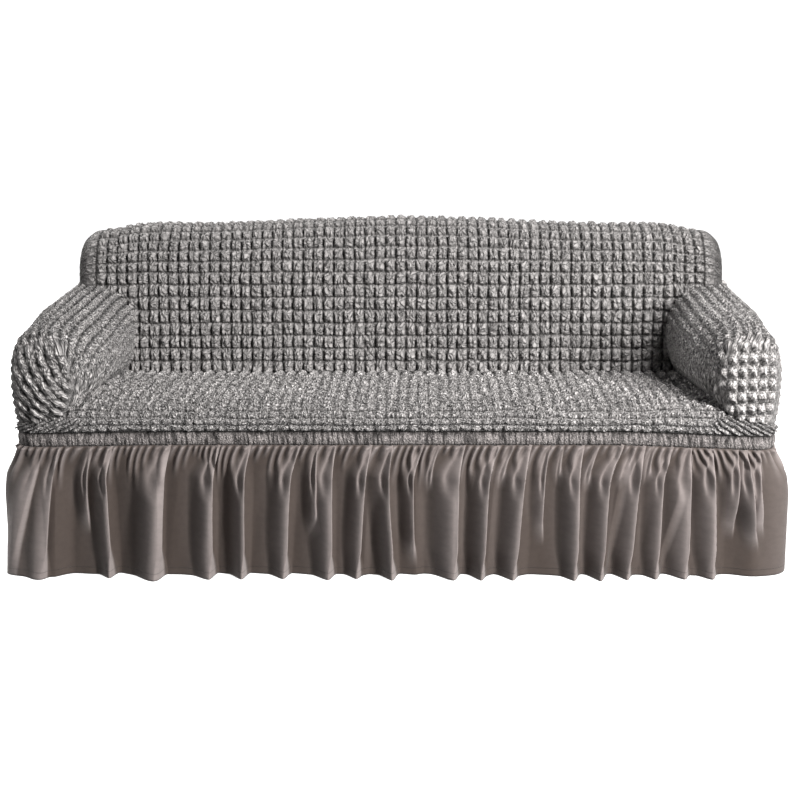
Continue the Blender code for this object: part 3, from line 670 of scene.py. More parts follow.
def build_back_end(side):
    """One end of the back. Its cloth is stretched, so its bubbles are nearly flat."""
    crest = BACK.share("crest")
    front = BACK.share_at(1, LEDGE, 0.0, crest)
    rear = BACK.share_at(1, LEDGE, crest, 1.0)
    radius = BACK_HALF_WIDTH - BACK_FLAT
    reach = radius + END_TUCK
    foot_front = BACK.point(front)[0] + reach
    foot_rear = BODY_DEPTH - reach
    share = np.linspace(front, rear, 150)[None, :]
    part = (share - front) / (rear - front)
    depth, height = back_point(np.full_like(share, BACK_FLAT), share)[1:]
    foot_depth = foot_front + (foot_rear - foot_front) * part
    arm_depth, arm_height = depth - foot_depth, height - LEDGE
    length = np.hypot(arm_depth, arm_height)
    a = np.linspace(0, PI / 2, 20)[:, None]
    k_turn = 1 - radius * (1 - np.cos(a)) / length
    k_flat = (1 - radius / length) * np.linspace(1, 0, 30)[1:, None]
    k = np.concatenate([k_turn, k_flat])
    out = np.concatenate([radius * np.sin(a) + 0 * share, np.full(k_flat.shape, radius)])
    x = side * (BACK_FLAT + out)
    points = place(x, foot_depth + arm_depth * k, LEDGE + arm_height * k)
    down = [a * radius + 0 * share, PI / 2 * radius + (k_turn[-1:] - k_flat) * length]
    down = np.concatenate(down)  # length of cloth from the back's edge
    around = share * BACK.length + 0 * down
    turned = np.concatenate([a[:, 0], np.full(len(k_flat), PI / 2)])
    out = FLANGE * np.sin(turned) ** 2
    out = together(side * out * np.sin(turned), out * np.cos(turned), -out * FLANGE_DROP / FLANGE)
    points = np.concatenate([points, points[:, -1:] + out[:, None]], axis=1)
    foot = points[-1:].copy()
    foot[:, :-1] += np.array([side * FLANGE, 0, -FLANGE_DROP])
    points = np.concatenate([points, foot])
    down, around = (np.pad(block, ((0, 1), (0, 1)), mode="edge") for block in (down, around))
    if side > 0:
        points, down, around = points[:, ::-1], down[:, ::-1], around[:, ::-1]
    points, down, around = points[::-1], down[::-1], around[::-1]
    # the fade also scales the painted shading: the end's cloth is painted darker away from the
    # back's edge, and darkest at its seams
    fade = 0.25 + 0.75 * seam_fade(0.05 - down, 0.05)
    fade = fade * seam_fade(down, 0.006)
    fade[0] = 0
    fade[:, 0 if side > 0 else -1] = 0
    u, v = around / BACK_PITCH[1], down / BACK_PITCH[0]
    points, painted_shading = bubble_surface(points, bubbles(u, v, 3.0, LOOKS["end"]), fade, END_BUBBLE)
    node = "back_end_right" if side > 0 else "back_end_left"
    make_sheet(node, "bubble_cloth", points, together(around, down), painted_shading, tuck=())


# ---- seat


def build_seat():
    strip = SEAT.share("strip")
    strip_rows = spread(STRIP_ROWS, 9)
    deck_length = (1 - strip) * SEAT.length
    deck_rows = spread(deck_length / SEAT_PITCH[1], 8)[1:]
    v = np.concatenate([strip_rows, STRIP_ROWS + deck_rows])
    deck_level = strip + deck_rows * SEAT_PITCH[1] / SEAT.length
    level = np.concatenate([strip_rows / STRIP_ROWS * strip, deck_level])
    level = np.minimum(level, 1.0)
    half = STRIP_END / SEAT_PITCH[0]
    u = spread(2 * half, 8) - half
    ss, ll = np.meshgrid(u * SEAT_PITCH[0], level)
    away = np.abs(ss)
    section = SEAT.point(ll)
    depth, height = section[..., 0], section[..., 1]
    x = ss * (arm_foot(depth) + SEAT_UNDER_ARM * ease(depth / 0.05)) / ARM_FOOT_FRONT
    low = band_top(x)
    on_strip = ll <= strip + 1e-9
    on_band = low + (height - BAND_TOP) * (STRIP_TOP - low) / (STRIP_TOP - BAND_TOP)
    height = np.where(on_strip, on_band, height)
    wall_x, wall_depth, out_x, out_depth = wall(ss)
    part = np.clip(ll / strip, 0, 1)
    bulge = STRIP_BULGE * np.sin(PI * part) * ease((STRIP_FADES_AT - away) / BULGE_FADES)
    low = band_top(wall_x)
    wing = away > ARM_FOOT_FRONT
    tongue = wing & ~on_strip
    near_arm = 1 - ease((away - ARM_FOOT_FRONT) / 0.05)
    lowered = strip_top(ss) + (height - STRIP_TOP) * near_arm
    x = np.where(wing, np.where(tongue, ss, wall_x + out_x * bulge), x)
    depth = np.where(wing & on_strip, wall_depth + out_depth * bulge, depth)
    height = np.where(wing, np.where(tongue, lowered, low + (strip_top(ss) - low) * part), height)
    points = place(x, depth, height)
    uu, vv = np.meshgrid(u, v)
    lattice = np.where(wing, uu, x / SEAT_PITCH[0])
    twist = ease((away - ROPE_FROM) / ROPE_BY) * on_strip
    lattice = lattice + ROPE_TWIST * np.sign(ss) * vv * twist
    fade = seam_fade(vv * STRIP_ROW, 0.006) * seam_fade(STRIP_END - away, 0.05)
    twisted = ease((away - ROPE_LOOK_FROM) / ROPE_LOOK_BY)
    looks = ("seat", "strip", "rope")
    deck, front, rope = (bubbles(lattice, vv, 4.0, LOOKS[look]) for look in looks)
    cells = np.where(on_strip, front + (rope - front) * twisted, deck)
    # painted light: the seat's cloth lighter towards its rear
    cells[1] *= 1 + REAR_PAINTED_LIGHT * ease((ll - strip) / 0.5)
    rear = ease((ll - SCALLOPS_FROM) / 0.06) * ~wing
    # painted shading of the rear scallops: painted light on them, painted shade between them
    scallop = np.abs(np.sin(PI * x / SCALLOP_PITCH)) ** 0.6
    rounded = [low + more * scallop for low, more in (SCALLOP_SHAPE, SCALLOP_PAINTED_SHADING)]
    rounded = np.array(rounded) * (1 - SCALLOP_CREASED + SCALLOP_CREASED * cells)
    cells = cells + (rounded - cells) * rear
    points, painted_shading = bubble_surface(points, cells, fade, SEAT_BUBBLE)
    keep = ~wing | on_strip | ((away < TONGUE[0]) & (depth < TONGUE[1]))
    make_sheet("seat_panel", "seat_cloth", points, together(ss, vv * SEAT_PITCH[1]), painted_shading, keep)


# ---- arms


def seat_height(depth):
    levels = np.linspace(SEAT.share("strip"), 1.0, SAMPLES)
    section = SEAT.point(levels)
    return np.interp(depth, section[:, 0], section[:, 1])


def arm_section(share, depth):
    front = (1 - ease((depth - ARM_EDGE_TOP) / (ARM_TAPER_DEPTH - ARM_EDGE_TOP)))[..., None]
    section = ARM_FULL.point(share) * (1 - front) + ARM_FRONT.point(share) * front
    foot = (ARM_FULL.point(0.0) * (1 - front) + ARM_FRONT.point(0.0) * front)[..., 1]
    near_foot = np.maximum(1 - share / ARM_FULL.share("inner_bulge"), 0)
    height = section[..., 1] + (seat_height(depth) - foot) * near_foot
    return section[..., 0], height


def arm_edge(share):
    side = np.where(share < 0.5, ARM_EDGE_INNER, ARM_EDGE_OUTER)
    return side + (ARM_EDGE_TOP - side) * np.sin(PI * share) ** 2


def arm_rear(share):
    """Depth at which each of the arm's lengthwise lines stops."""
    low = ARM_FULL.share("top")
    high = ARM_FULL.share("shoulder")
    crest = BACK.share("crest")
    x, height = ARM_FULL.point(share)[:, 0], ARM_FULL.point(share)[:, 1]
    front = BACK.point(BACK.share_at(1, height, 0.0, crest))[:, 0]
    a = np.arcsin(np.clip((x - BACK_FLAT) / CORNER, 0, 1))
    rear = front + CORNER * (1 - np.cos(a))
    outside = (x > BACK_HALF_WIDTH) & (share > low)
    return np.where(outside | (share > high), BODY_DEPTH - CORNER, rear)


def build_arm(side):
    """One arm panel: inner side, top, outer side and the front that it wraps over."""
    across = spread(ARM_FULL.length / ARM_PITCH[0], 9) * ARM_PITCH[0] / ARM_FULL.length
    share = np.minimum(across, 1.0)
    outer_low = ARM_FULL.share("outer_low")
    near_foot = np.clip((share - outer_low) / (1 - outer_low), 0, 1)

    def lowered(height, depth):
        low = strip_top(side * (FRONT_CORNER - CORNER + depth))
        return height - near_foot * (BAND_TOP - low)

    rear = arm_rear(share)
    edge = arm_edge(share) + SOFT_EDGE * (1 - ease((share - 0.12) / 0.25))
    corner_x, corner_z = arm_section(share, edge)
    corner_z = lowered(corner_z, edge)
    foot_x = CAP_FOOT_INNER + (CAP_FOOT_OUTER - CAP_FOOT_INNER) * share
    foot_z = strip_top(side * foot_x)
    corner_x = np.where(share == 0, arm_foot(edge), corner_x)
    length = np.hypot(corner_x - foot_x, corner_z - foot_z)
    edge = np.minimum(edge, EDGE_LIMIT * length)
    along = np.linspace(0, 1, ARM_ROWS)[:, None] ** ARM_ROWS_BUNCH
    depth = rear + (edge - rear) * along
    x, z = arm_section(share[None, :] + 0 * depth, depth)
    z = lowered(z, depth)
    a = np.linspace(0, PI / 2, ARM_TURN_ROWS)[1:, None]
    k_turn = 1 - edge * (1 - np.cos(a)) / length
    k = np.linspace(1, 0, CAP_ROWS)[1:, None]
    puff_out = CAP_PUFF * np.minimum(1, length / CAP_FULL_LENGTH)
    puff_out = puff_out * np.sin(PI * np.minimum(k + CAP_PUFF_LIFT, 1))
    k_front = np.concatenate([k_turn, (1 - edge / length) * k])
    turn = [np.zeros_like(x), a / (PI / 2) + 0 * k_turn, np.ones_like(puff_out)]
    turn = np.concatenate(turn)  # 0 along the arm, up to 1 on its front
    x = np.concatenate([x, foot_x + (corner_x - foot_x) * k_front])
    z = np.concatenate([z, foot_z + (corner_z - foot_z) * k_front])
    depth = np.concatenate([depth, edge * (1 - np.sin(a)), -puff_out])
    points = place(side * x, depth, z)
    share = share[None, :] + 0 * depth
    (relief, painted_shading), cloth, crisp = arm_cloth(side, share, x, depth, z, turn)
    calm = OUTER_BUBBLE + (1 - OUTER_BUBBLE) * ease((0.99 - x) / 0.05)
    if side > 0:
        blocks = (points, relief, painted_shading, cloth, crisp, calm)
        points, relief, painted_shading, cloth, crisp, calm = (block[:, ::-1] for block in blocks)
    lift = ARM_BUBBLE * (relief - BUBBLE_SINK) * calm
    points = points + normals_of(points) * lift[..., None]
    node = "arm_right" if side > 0 else "arm_left"
    make_sheet(node, "arm_cloth", points, cloth, painted_shading, crisp=crisp)


def arm_cloth(side, share, x, depth, z, turn):
    """The arm's relief. Ribs run along its top and inner side and turn down towards the front, and
    become rows of bubbles there. The front has upright columns and level rows of its own."""
    seed = 5.0 + side
    pitch_u, pitch_v = ARM_PITCH
    arc = share * ARM_FULL.length
    forward = RIBS_FROM - depth
    top_arc = ARM_FULL.share("top") * ARM_FULL.length
    bent = (arc**RIB_BEND + (RIB_DROP * np.maximum(forward, 0)) ** RIB_BEND) ** (1 / RIB_BEND)
    u = bent / pitch_u
    v = (forward + 0.25 * np.maximum(top_arc - arc, 0)) / pitch_v
    ribs = bubbles(u, v, seed, LOOKS["soft_rib" if side > 0 else "rib"])
    # painted light: the ribs' colour made lighter, the right arm's most
    ribs[1] *= RIB_PAINTED_LIGHT[side]
    wander = 0.7 * soft_noise(u * 2.0, v * 2.0, seed + 30)
    cross = 0.5 + 0.5 * np.cos(2 * PI * (v * CROSS_CREASES + wander))
    cross = cross * (0.5 + 0.5 * soft_noise(u * 1.7, v * 3.0, seed + 31))
    ribs = ribs * (1 - CROSS_DEPTH * cross)
    plain = PLAIN_SHARE * ease((PLAIN_BELOW - arc) / PLAIN_BY)
    calm = np.array([PLAIN_RELIEF, 1.0])[:, None, None]
    ribs = ribs + (calm - ribs) * plain
    cells = LOOKS["pyramid" if side > 0 else "leaf"]
    knobs = bubbles(u, v, seed, cells)
    near_front = ease((forward - KNOBS_FROM) / KNOBS_BY)
    outer = ease((arc - top_arc - 0.05) / 0.1)
    swept = ribs + (knobs - ribs) * np.maximum(near_front, outer)
    fall = CAP_TOP - z
    cap_x = x - CAP_MIDDLE + CAP_SLANT[side] * np.maximum(fall - 0.02, 0) ** 2
    level_arc = (top_arc**RIB_BEND + (RIB_DROP * 0.5) ** RIB_BEND) ** (1 / RIB_BEND)
    cap_u = (level_arc + cap_x) / pitch_u
    arched = fall - CAP_ARCH * (x - ARCH_MIDDLE) ** 2
    cap_v = CAP_FIRST / pitch_v + arched / CAP_ROW[side]
    if side < 0:
        cap_v = cap_v + 0.5 * (np.floor(cap_u) % 2)
    front = bubbles(cap_u, cap_v, seed, cells) * np.array([CAP_HEIGHT, 1.0])[:, None, None]
    if side > 0:
        # painted light on each pyramid's upper faces and painted shade on its lower faces
        a, b = cap_u % 1, cap_v % 1
        below = ease((b - PEAK_AT - PEAK_SLANT * np.abs(a - 0.5)) / 0.08)
        front = front * np.array([np.ones_like(a), FACE_LIT - (FACE_LIT - FACE_SHADED) * below])
    weight = ease((turn - 0.35) / 0.4)
    relief = swept + (front - swept) * weight
    cloth_u = u + (cap_u - u) * weight
    cloth_v = v + (cap_v - v) * weight
    crisp = np.maximum(weight, 0.6 * outer) * CRISPNESS[side]
    return relief, together(cloth_u * pitch_u, cloth_v * pitch_v), crisp


# ---- waistband and skirt


def build_band():
    s = np.linspace(-HALF_ROUND, HALF_ROUND, BAND_COLUMNS, endpoint=False)[None, :]
    part = np.linspace(0, 1, BAND_ROWS)[:, None]
    x, depth, out_x, out_depth = wall(s)
    ribs = soft_noise(s / SHIRRING_PITCH + 0.5 * part, 0.6 * part + 0 * s, 40.0)
    crossed = soft_noise(s / CROSSED_PITCH - 1.1 * part, 1.8 * part + 3.0 + 0 * s, 41.0)
    relief = 1 - np.clip(0.85 * valley(ribs, 0.6) + 0.25 * valley(crossed, 0.5), 0, 1)
    relief = relief * (0.35 + 0.65 * np.sin(PI * part) ** 0.6)
    relief = relief * ease((1 - part) / 0.12)
    out = BAND_BULGE * np.sin(PI * part) + SHIRRING * relief - SHIRRING_SINK
    height = band_top(x) - BAND_HEIGHT * (1 - part)
    lip = place(x[0] - out_x[0] * BAND_LIP, depth[0] - out_depth[0] * BAND_LIP, height[-1])[None]
    points = np.concatenate([place(x + out_x * out, depth + out_depth * out, height), lip])
    cloth = together(s, BAND_HEIGHT * np.append(part, [[1.0]], axis=0))
    # painted shade in the valleys between the band's ribs
    painted_shading = np.concatenate([relief, relief[-1:]])
    make_sheet("waistband", "band_cloth", points, cloth, painted_shading, closed=True, tuck=(FIRST_ROW,))


def plain_folds(kind, start, end):
    count, reach, sink, spread_by, seed = PLAIN_FOLDS[kind]
    pitch = (end - start) / count
    folds = []
    for i in range(count):
        nose = start + pitch * (i + NOSE_AT[0] + NOSE_AT[1] * uneven(i, seed))
        hollow = nose + pitch * (HOLLOW_AFTER[0] + HOLLOW_AFTER[1] * uneven(i, seed + 1))
        out = reach + spread_by * uneven(i, seed + 2)
        back = sink + SINK_SPREAD * spread_by * uneven(i, seed + 3)
        folds.append((nose, out, hollow, back, PLAIN_LEAN * uneven(i, seed + 4)))
    return folds


def sway(level, top, upper, hem):
    """A ridge's edge, a smooth line through its three places."""
    first, second = (upper - top) / RIDGE_BEND, (hem - upper) / (1 - RIDGE_BEND)
    middle = 2 * first * second / (first + second) if first * second > 0 else 0.0
    if level < RIDGE_BEND:
        span, t = RIDGE_BEND, level / RIDGE_BEND
        start, end, leave, arrive = top, upper, first, middle
    else:
        span, t = 1 - RIDGE_BEND, (level - RIDGE_BEND) / (1 - RIDGE_BEND)
        start, end, leave, arrive = upper, hem, middle, second
    bent = leave * (t**3 - 2 * t**2 + t) + arrive * (t**3 - t**2)
    return start + (end - start) * (3 * t**2 - 2 * t**3) + span * bent


def main_ridges(s, level):
    """The ridges that run down from the band. Each starts as a thin strand, has a full crest, falls
    away to its left and leans over the deep recess on its right."""
    out, painted_shading = 0 * s, 0 * s
    grown = ease(level / RIDGE_GROWS)
    opens = 0.15 + 0.66 * grown - 0.13 * ease((level - 0.5) / 0.5)
    hem_turn = ease((level - 0.75) / 0.25)
    slip = RIDGE_SLIP * (1 - 0.6 * hem_turn)
    for row in MAIN_RIDGES:
        top, upper, hem, full_width, height, *ends = (number / 1000 for number in row)
        width = full_width * (0.35 + 0.65 * grown)
        height = min(RIDGE_HEIGHT * height, 2.4 * full_width + 0.008) * opens
        for end in ends:
            height = height * (1 - ease((level - end + RIDGE_FADES[0]) / RIDGE_FADES[1]))
        left = sway(level, top, upper, hem) - slip * height - s
        crest = ease((left + 0.005 + 0.009 * hem_turn) / (0.009 + 0.02 * hem_turn))
        crest = crest * (1 - ease((left - 0.35 * width) / (0.8 * width + 0.022)))
        split = ease(level / 0.1) * (1 - ease((level - 0.2) / 0.22))
        notch = np.exp(-(((left - 0.5 * width - 0.004) / (0.3 * width)) ** 2))
        out = np.maximum(out, height * (crest - RIDGE_SPLIT * split * notch))
        # painted light on each ridge's face, and painted light in the cast shade to its left
        painted_crest_light = ease((left + 0.006) / 0.006)
        painted_crest_light = painted_crest_light * (1 - ease((left - 0.4 * width) / (0.8 * width + 0.018)))
        painted_lee_light = LEE_PAINTED_LIGHT * (left > 0) * (1 - ease((left - width) / (1.6 * height + 0.004)))
        shown = np.clip(height / 0.012, 0, 1)
        painted_shading = np.maximum(painted_shading, shown * np.maximum(painted_crest_light * (1 - 0.35 * split * notch), painted_lee_light))
    return out, slip * out, painted_shading


def no_ridges(s, level):
    return 0 * s, 0 * s, 0 * s


def gathers(s, level):
    """Small pleats below the band, which lean as they fall and die out at different heights."""
    lean = GATHER_LEAN * np.where(s > GATHER_TURNS_AT, -1.0, 1.0)
    along = s + lean * (1 - np.exp(-level / 0.12))
    phase = along / GATHER_PITCH + 0.9 * soft_noise(s / 0.11, 0 * s, 50.0)
    which = np.floor(phase)
    part = phase - which
    tall = 0.55 + 0.45 * chance(which, 0 * s, 51.0)
    reach = 0.1 + 0.34 * chance(which, 0 * s, 52.0) ** 2
    shape = np.sin(PI * part) ** 1.8 * (0.7 + 0.3 * part)
    height = GATHER_HEIGHT * shape * tall * ease(level / 0.014)
    return height * (1 - ease(level / reach))


def skirt_flare(s):
    beyond = np.abs(np.abs(s) - (FRONT_CORNER + REAR_CORNER) / 2)
    half = (REAR_CORNER - FRONT_CORNER) / 2
    return SIDE_FLARE * (1 - ease((beyond - half) / FLARE_FADES))


def fold_offset(s, level, folds, start, end):
    """How far the cloth stands out at one level, between the folds' noses and hollows. A fold rises
    slowly from the hollow on its left and falls steeply on its right."""
    places, offsets, falls = [start], [CORNER_FLARE], [False]
    for nose, reach, hollow, sink, lean in folds:
        shift = lean * (1 - level)
        places += [nose + shift, nose + shift + FALL_WIDTH * (hollow - nose)]
        offsets += [reach, sink]
        falls += [True, False]
    places, offsets = np.array(places + [end]), np.array(offsets + [CORNER_FLARE])
    k = np.clip(np.searchsorted(places, s) - 1, 0, len(places) - 2)
    part = np.clip((s - places[k]) / (places[k + 1] - places[k]), 0, 1)
    even = (1 - np.cos(PI * part)) / 2
    sharp = np.where(np.array(falls)[k], 1 - (1 - part) ** 2, np.sin(PI / 2 * part))
    return offsets[k] + (offsets[k + 1] - offsets[k]) * (0.55 * even + 0.45 * sharp)


def build_skirt(node, start, end, folds, ridges, grid_size):
    columns, rows = grid_size
    s = np.linspace(start, end, columns)
    levels = np.linspace(0, 1, rows) ** 1.15
    wrapped = np.where(s <= HALF_ROUND, s, s - 2 * HALF_ROUND)
    x, depth, out_x, out_depth = wall(wrapped)
    top = band_top(x) - BAND_HEIGHT
    grid, painted_shadings = [], []
    has_ridges = ridges is main_ridges
    seam = ease(np.minimum(s - start, end - s) / 0.02)
    for level in reversed(levels):
        opened = ease(level / SKIRT_FULL_BELOW) * (0.8 + 0.2 * level)
        fold = fold_offset(s, level, folds, start, end)
        if has_ridges:
            fold = CORNER_FLARE + (fold - CORNER_FLARE) * FOLD_SHARE
            fold = fold - FLOOR_SINK * ease((FRONT_CORNER - np.abs(s)) / 0.15)
        ridge, slip, painted_shading = ridges(s, level)
        wide = SWELL * soft_noise(s / SWELL_PITCH + 1.5 * level, level * 1.5 + 0 * s, 53.0)
        small = gathers(s, level) * seam
        out = fold * opened + skirt_flare(wrapped) * ease(level / SIDE_FLARE_BELOW)
        out = out + small + wide * seam * ease(level / 0.2) + ridge
        across, inward = out_x * out - out_depth * slip, out_depth * out + out_x * slip
        grid.append(place(x + across, depth + inward, top * (1 - level)))
        # painted shade in the front's recesses, lighter on its ridges and gathers and near its
        # corners; on the other sides, painted shade in the folds' hollows
        if has_ridges:
            painted_shading = RECESS_PAINTED_SHADE + np.maximum(painted_shading, GATHER_PAINTED_LIGHT * small / GATHER_HEIGHT)
            painted_shading = painted_shading + CORNER_SHADE_LIFT * ease(1 - (FRONT_CORNER - np.abs(s)) / 0.1)
        else:
            painted_shading = (out + 0.012) / (0.012 + 0.04 * opened)
        painted_shadings.append(np.clip(painted_shading, 0, 1))
    cloth = together(s[None, :], SKIRT_DROP * (1 - levels[::-1, None]))
    make_sheet(node, "skirt_cloth", np.array(grid), cloth, np.array(painted_shadings))


def build_skirts():
    ends, grid = (-FRONT_CORNER, FRONT_CORNER), SKIRT_GRID["front"]
    build_skirt("skirt_front", *ends, np.array(FRONT_FOLDS) / 1000, main_ridges, grid)
    for node, low in (("skirt_right", FRONT_CORNER), ("skirt_left", -REAR_CORNER)):
        ends = (low, low + REAR_CORNER - FRONT_CORNER)
        build_skirt(node, *ends, plain_folds("side", *ends), no_ridges, SKIRT_GRID["side"])
    ends, grid = (REAR_CORNER, 2 * HALF_ROUND - REAR_CORNER), SKIRT_GRID["rear"]
    build_skirt("skirt_back", *ends, plain_folds("rear", *ends), no_ridges, grid)


# ---- materials

COLOURS = {
    # the colour where no shade is painted, then the painted shade's colour in the hollows
    "bubble_cloth": (0.44, 0.421, 0.414, 0.027, 0.024, 0.023),
    # seat_cloth and arm_cloth are the back's bubble cloth in a lighter colour: partly painted
    # light, partly balancing their darker painted crinkle shade
    "seat_cloth": (0.695, 0.666, 0.656, 0.028, 0.025, 0.024),
    "arm_cloth": (0.655, 0.628, 0.618, 0.028, 0.025, 0.024),
    "band_cloth": (0.405, 0.371, 0.362, 0.02, 0.017, 0.016),
    "skirt_cloth": (0.225, 0.194, 0.186, 0.046, 0.0335, 0.0275),
}
SURFACES = {
    # size of the facets between creases, their bump, crinkles a metre, their bump, darkest
    # painted crinkle shade, grain, roughness, sheen
    "bubble_cloth": (0.017, 0.033, 230, 0.0035, 0.75, 0.1, 0.9, 0.1),
    "seat_cloth": (0.009, 0.031, 190, 0.006, 0.36, 0.2, 0.9, 0.1),
    "arm_cloth": (0.0085, 0.032, 170, 0.0075, 0.28, 0.24, 0.9, 0.1),
    "band_cloth": (0.0065, 0.0055, 230, 0.0022, 0.6, 0.14, 0.9, 0.1),
    "skirt_cloth": (0.0, 0.0, 60, 0.0002, 0.97, 0.02, 0.7, 0.12),
}
WEAVE_SCALE = 262  # a thread every 1.2 mm
WEAVE_BUMP = 0.00012
FIBRES = 3.1  # fibres to a crinkle
CRINKLE_SHADE = (0.36, 0.58)  # the crinkle noise's values painted darkest and lightest: painted shade in its hollows, painted light on its tops
CRINKLE_LIGHT = 1.06
CREASE_REACH, CREASE_SHADE = 0.12, 0.67  # width and darkness of the painted shade in the creases between facets
FACET_WANDER, FACET_BEND = 0.45, 1.4  # how fast and how far the creases bend, in facets
FACET_STRETCH = (1.25, 0.8, 1.0)  # a facet is longer down the cloth than across it
CRISP_BUMP = 0.1  # share of the bump that is left where the cloth is crisp
HEM, STITCH_LINE = 0.02, 0.0011  # the skirt's stitch line: height above its edge, and width
STITCH_SHADE, STITCH_SINK = 0.72, 0.0006


def new_material(name, values):
    """A material and its shader, whose own sockets take the values."""
    material = bpy.data.materials.new(name)
    material.use_nodes = True
    shader = material.node_tree.nodes["Principled BSDF"]
    for socket, value in values.items():
        shader.inputs[socket].default_value = value
    return material, shader


def cloth_material(name):
    """Matte cloth with painted shade in its hollows and creases, painted light on its crinkles'
    tops, a fine crinkle and a fine weave.
    """
    # colour is the full colour, hollow the painted shade's colour
    colour, hollow = COLOURS[name][:3], COLOURS[name][3:]
    facet, facet_bump, crinkles, crinkle_bump, dark, grain, rough, sheen = SURFACES[name]
    values = {"Roughness": rough, "Specular IOR Level": 0.25}
    values |= {"Sheen Weight": sheen, "Sheen Roughness": 0.5}
    material, shader = new_material(name, values)
    nodes, links = material.node_tree.nodes, material.node_tree.links

    def node(kind, inputs, output=0, **settings):
        """A new node's output. Each of its inputs is a value or another node's output."""
        made = nodes.new("ShaderNode" + kind)
        for setting, value in settings.items():
            setattr(made, setting, value)
        for socket, value in inputs.items():
            if isinstance(value, bpy.types.NodeSocket):
                links.new(value, made.inputs[socket])
            else:
                made.inputs[socket].default_value = value
        return made.outputs[output]

    def noise(scale, detail, output="Fac"):
        return node("TexNoise", {"Vector": uv, "Scale": scale, "Detail": detail}, output)

    def spread_over(value, low, high, to_low, to_high):
        ends = {"From Min": low, "From Max": high, "To Min": to_low, "To Max": to_high}
        return node("MapRange", {"Value": value, **ends})

    def times(first, second):
        return node("Math", {0: first, 1: second}, operation="MULTIPLY")

    def facets(size):
        """Distance from the sharp creases between flat facets."""
        wander = {0: noise(FACET_WANDER / size, 1.0, "Color"), 2: uv}
        wander[1] = (FACET_BEND * size, FACET_BEND * size, 0.0)
        bent = node("VectorMath", wander, operation="MULTIPLY_ADD")
        longer = node("VectorMath", {0: bent, 1: FACET_STRETCH}, operation="MULTIPLY")
        cells = {"Vector": longer, "Scale": 1 / size}
        return node("TexVoronoi", cells, "Distance", feature="DISTANCE_TO_EDGE")

    def weave(direction):
        threads = {"Vector": uv, "Scale": WEAVE_SCALE}
        return node("TexWave", threads, "Fac", bands_direction=direction)

    uv = node("UVMap", {}, uv_map="cloth")
    # the painted shading, read from the "relief" attribute
    painted_shading = node("Attribute", {}, "Fac", attribute_name="relief")
    crisp = node("Attribute", {}, "Fac", attribute_name="crisp")
    crinkle = noise(crinkles, 2.0)
    fibre = noise(crinkles * FIBRES, 3.0)
    range_of = [full - low for full, low in zip(colour, hollow)]
    # the full colour mixed down to the painted shade's colour by the painted shading
    colour_with_painted_shade = node("VectorMath", {0: painted_shading, 1: range_of, 2: hollow}, operation="MULTIPLY_ADD")
    # painted shade in the crinkles' hollows and painted light on their tops, times the fibres'
    # grain
    shade = spread_over(crinkle, *CRINKLE_SHADE, dark, CRINKLE_LIGHT)
    shade = times(shade, spread_over(fibre, 0.3, 0.7, 1 - grain, 1 + grain))
    heights = [(crinkle, crinkle_bump), (times(weave("X"), weave("Y")), WEAVE_BUMP)]
    if name == "skirt_cloth":
        above_hem = node("SeparateXYZ", {"Vector": uv}, "Y")
        line = {0: above_hem, 1: HEM, 2: STITCH_LINE}
        stitches = node("Math", line, operation="COMPARE")
        shade = times(shade, spread_over(stitches, 0.0, 1.0, 1.0, STITCH_SHADE))
        heights.append((stitches, -STITCH_SINK))
    if facet:
        distance = facets(facet)
        # painted shade in the creases between facets
        shade = times(shade, spread_over(distance, 0.0, CREASE_REACH, CREASE_SHADE * dark, 1.0))
        heights.insert(0, (distance, facet_bump))
    tint = node("VectorMath", {0: colour_with_painted_shade, "Scale": shade}, operation="SCALE")
    links.new(tint, shader.inputs["Base Color"])
    normal = {}
    for height, distance in heights:
        bump = {"Distance": distance, "Height": height, **normal}
        if facet and distance != WEAVE_BUMP:
            bump["Strength"] = spread_over(crisp, 0.0, 1.0, 1.0, CRISP_BUMP)
        normal = {"Normal": node("Bump", bump)}
    links.new(normal["Normal"], shader.inputs["Normal"])
    return material


# made here, because the frame has plain materials of its own under the same names
CLOTHS = {name: cloth_material(name) for name in COLOURS}


# ---- floor, light and camera


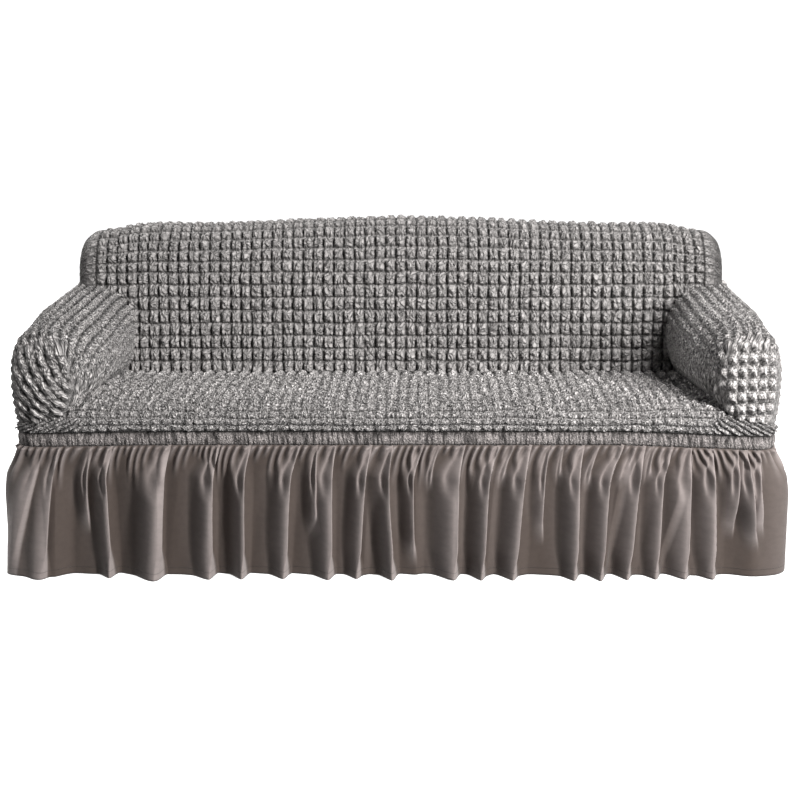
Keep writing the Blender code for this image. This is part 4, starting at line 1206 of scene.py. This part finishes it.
def build_stage():
    """A white floor that curves up far behind the object, so that no horizon shows in front."""
    a = np.linspace(0, PI / 2, 17)
    y = [-FLOOR_REACH, *(TURN_FROM + TURN * np.sin(a)), TURN_FROM + TURN]
    z = [0.0, *(TURN * (1 - np.cos(a))), FLOOR_REACH]
    low, high = ([(x, b, c) for b, c in zip(y, z)] for x in (-FLOOR_SIDE, FLOOR_SIDE))
    n = len(low)
    faces = [(i, n + i, n + i + 1, i + 1) for i in range(n - 1)]
    mesh = bpy.data.meshes.new("floor")
    mesh.from_pydata(low + high, [], faces)
    mesh.shade_smooth()
    values = {"Base Color": (0.6, 0.6, 0.6, 1), "Roughness": 0.9}
    values |= {"Emission Color": (1, 1, 1, 1), "Emission Strength": FLOOR_GLOW}
    mesh.materials.append(new_material("floor_white", values)[0])
    floor = add_object("floor", mesh)
    floor.location.z = FLOOR_LEVEL
    floor.visible_diffuse = False


def build_light():
    world = bpy.data.worlds.new("studio")
    bpy.context.scene.world = world
    world.use_nodes = True
    sky = world.node_tree.nodes["Background"]
    sky.inputs["Color"].default_value = (1, 1, 1, 1)
    sky.inputs["Strength"].default_value = SKY
    for name, (power, (width, height), place_at, aim) in LAMPS.items():
        lamp = bpy.data.lights.new(name, "AREA")
        lamp.shape = "RECTANGLE"
        lamp.size, lamp.size_y = width, height
        lamp.energy = power
        lamp.color = LAMP_COLOUR
        light = add_object(name, lamp)
        light.visible_camera = False
        light.location = place_at
        x, y, z = (end - start for start, end in zip(place_at, aim))
        light.rotation_euler = (math.atan2(math.hypot(x, y), -z), 0, math.atan2(-x, y))
    bpy.context.scene.view_settings.view_transform = "Standard"


def build_camera():
    lens = bpy.data.cameras.new("camera")
    lens.sensor_width = 36
    lens.lens = FOCAL / PICTURE * lens.sensor_width
    lens.shift_x = -CENTRE_RIGHT / PICTURE
    camera = add_object("camera", lens)
    camera.location = CAMERA_AT
    camera.rotation_euler = Euler((math.radians(90 - CAMERA_DOWN), 0, 0))
    bpy.context.scene.camera = camera


def main():
    build_camera()
    build_back_inside()
    build_back_outside()
    build_back_end(1.0)
    build_back_end(-1.0)
    build_seat()
    build_arm(1.0)
    build_arm(-1.0)
    build_band()
    build_skirts()
    build_stage()
    build_light()


main()
bpy.context.view_layer.update()
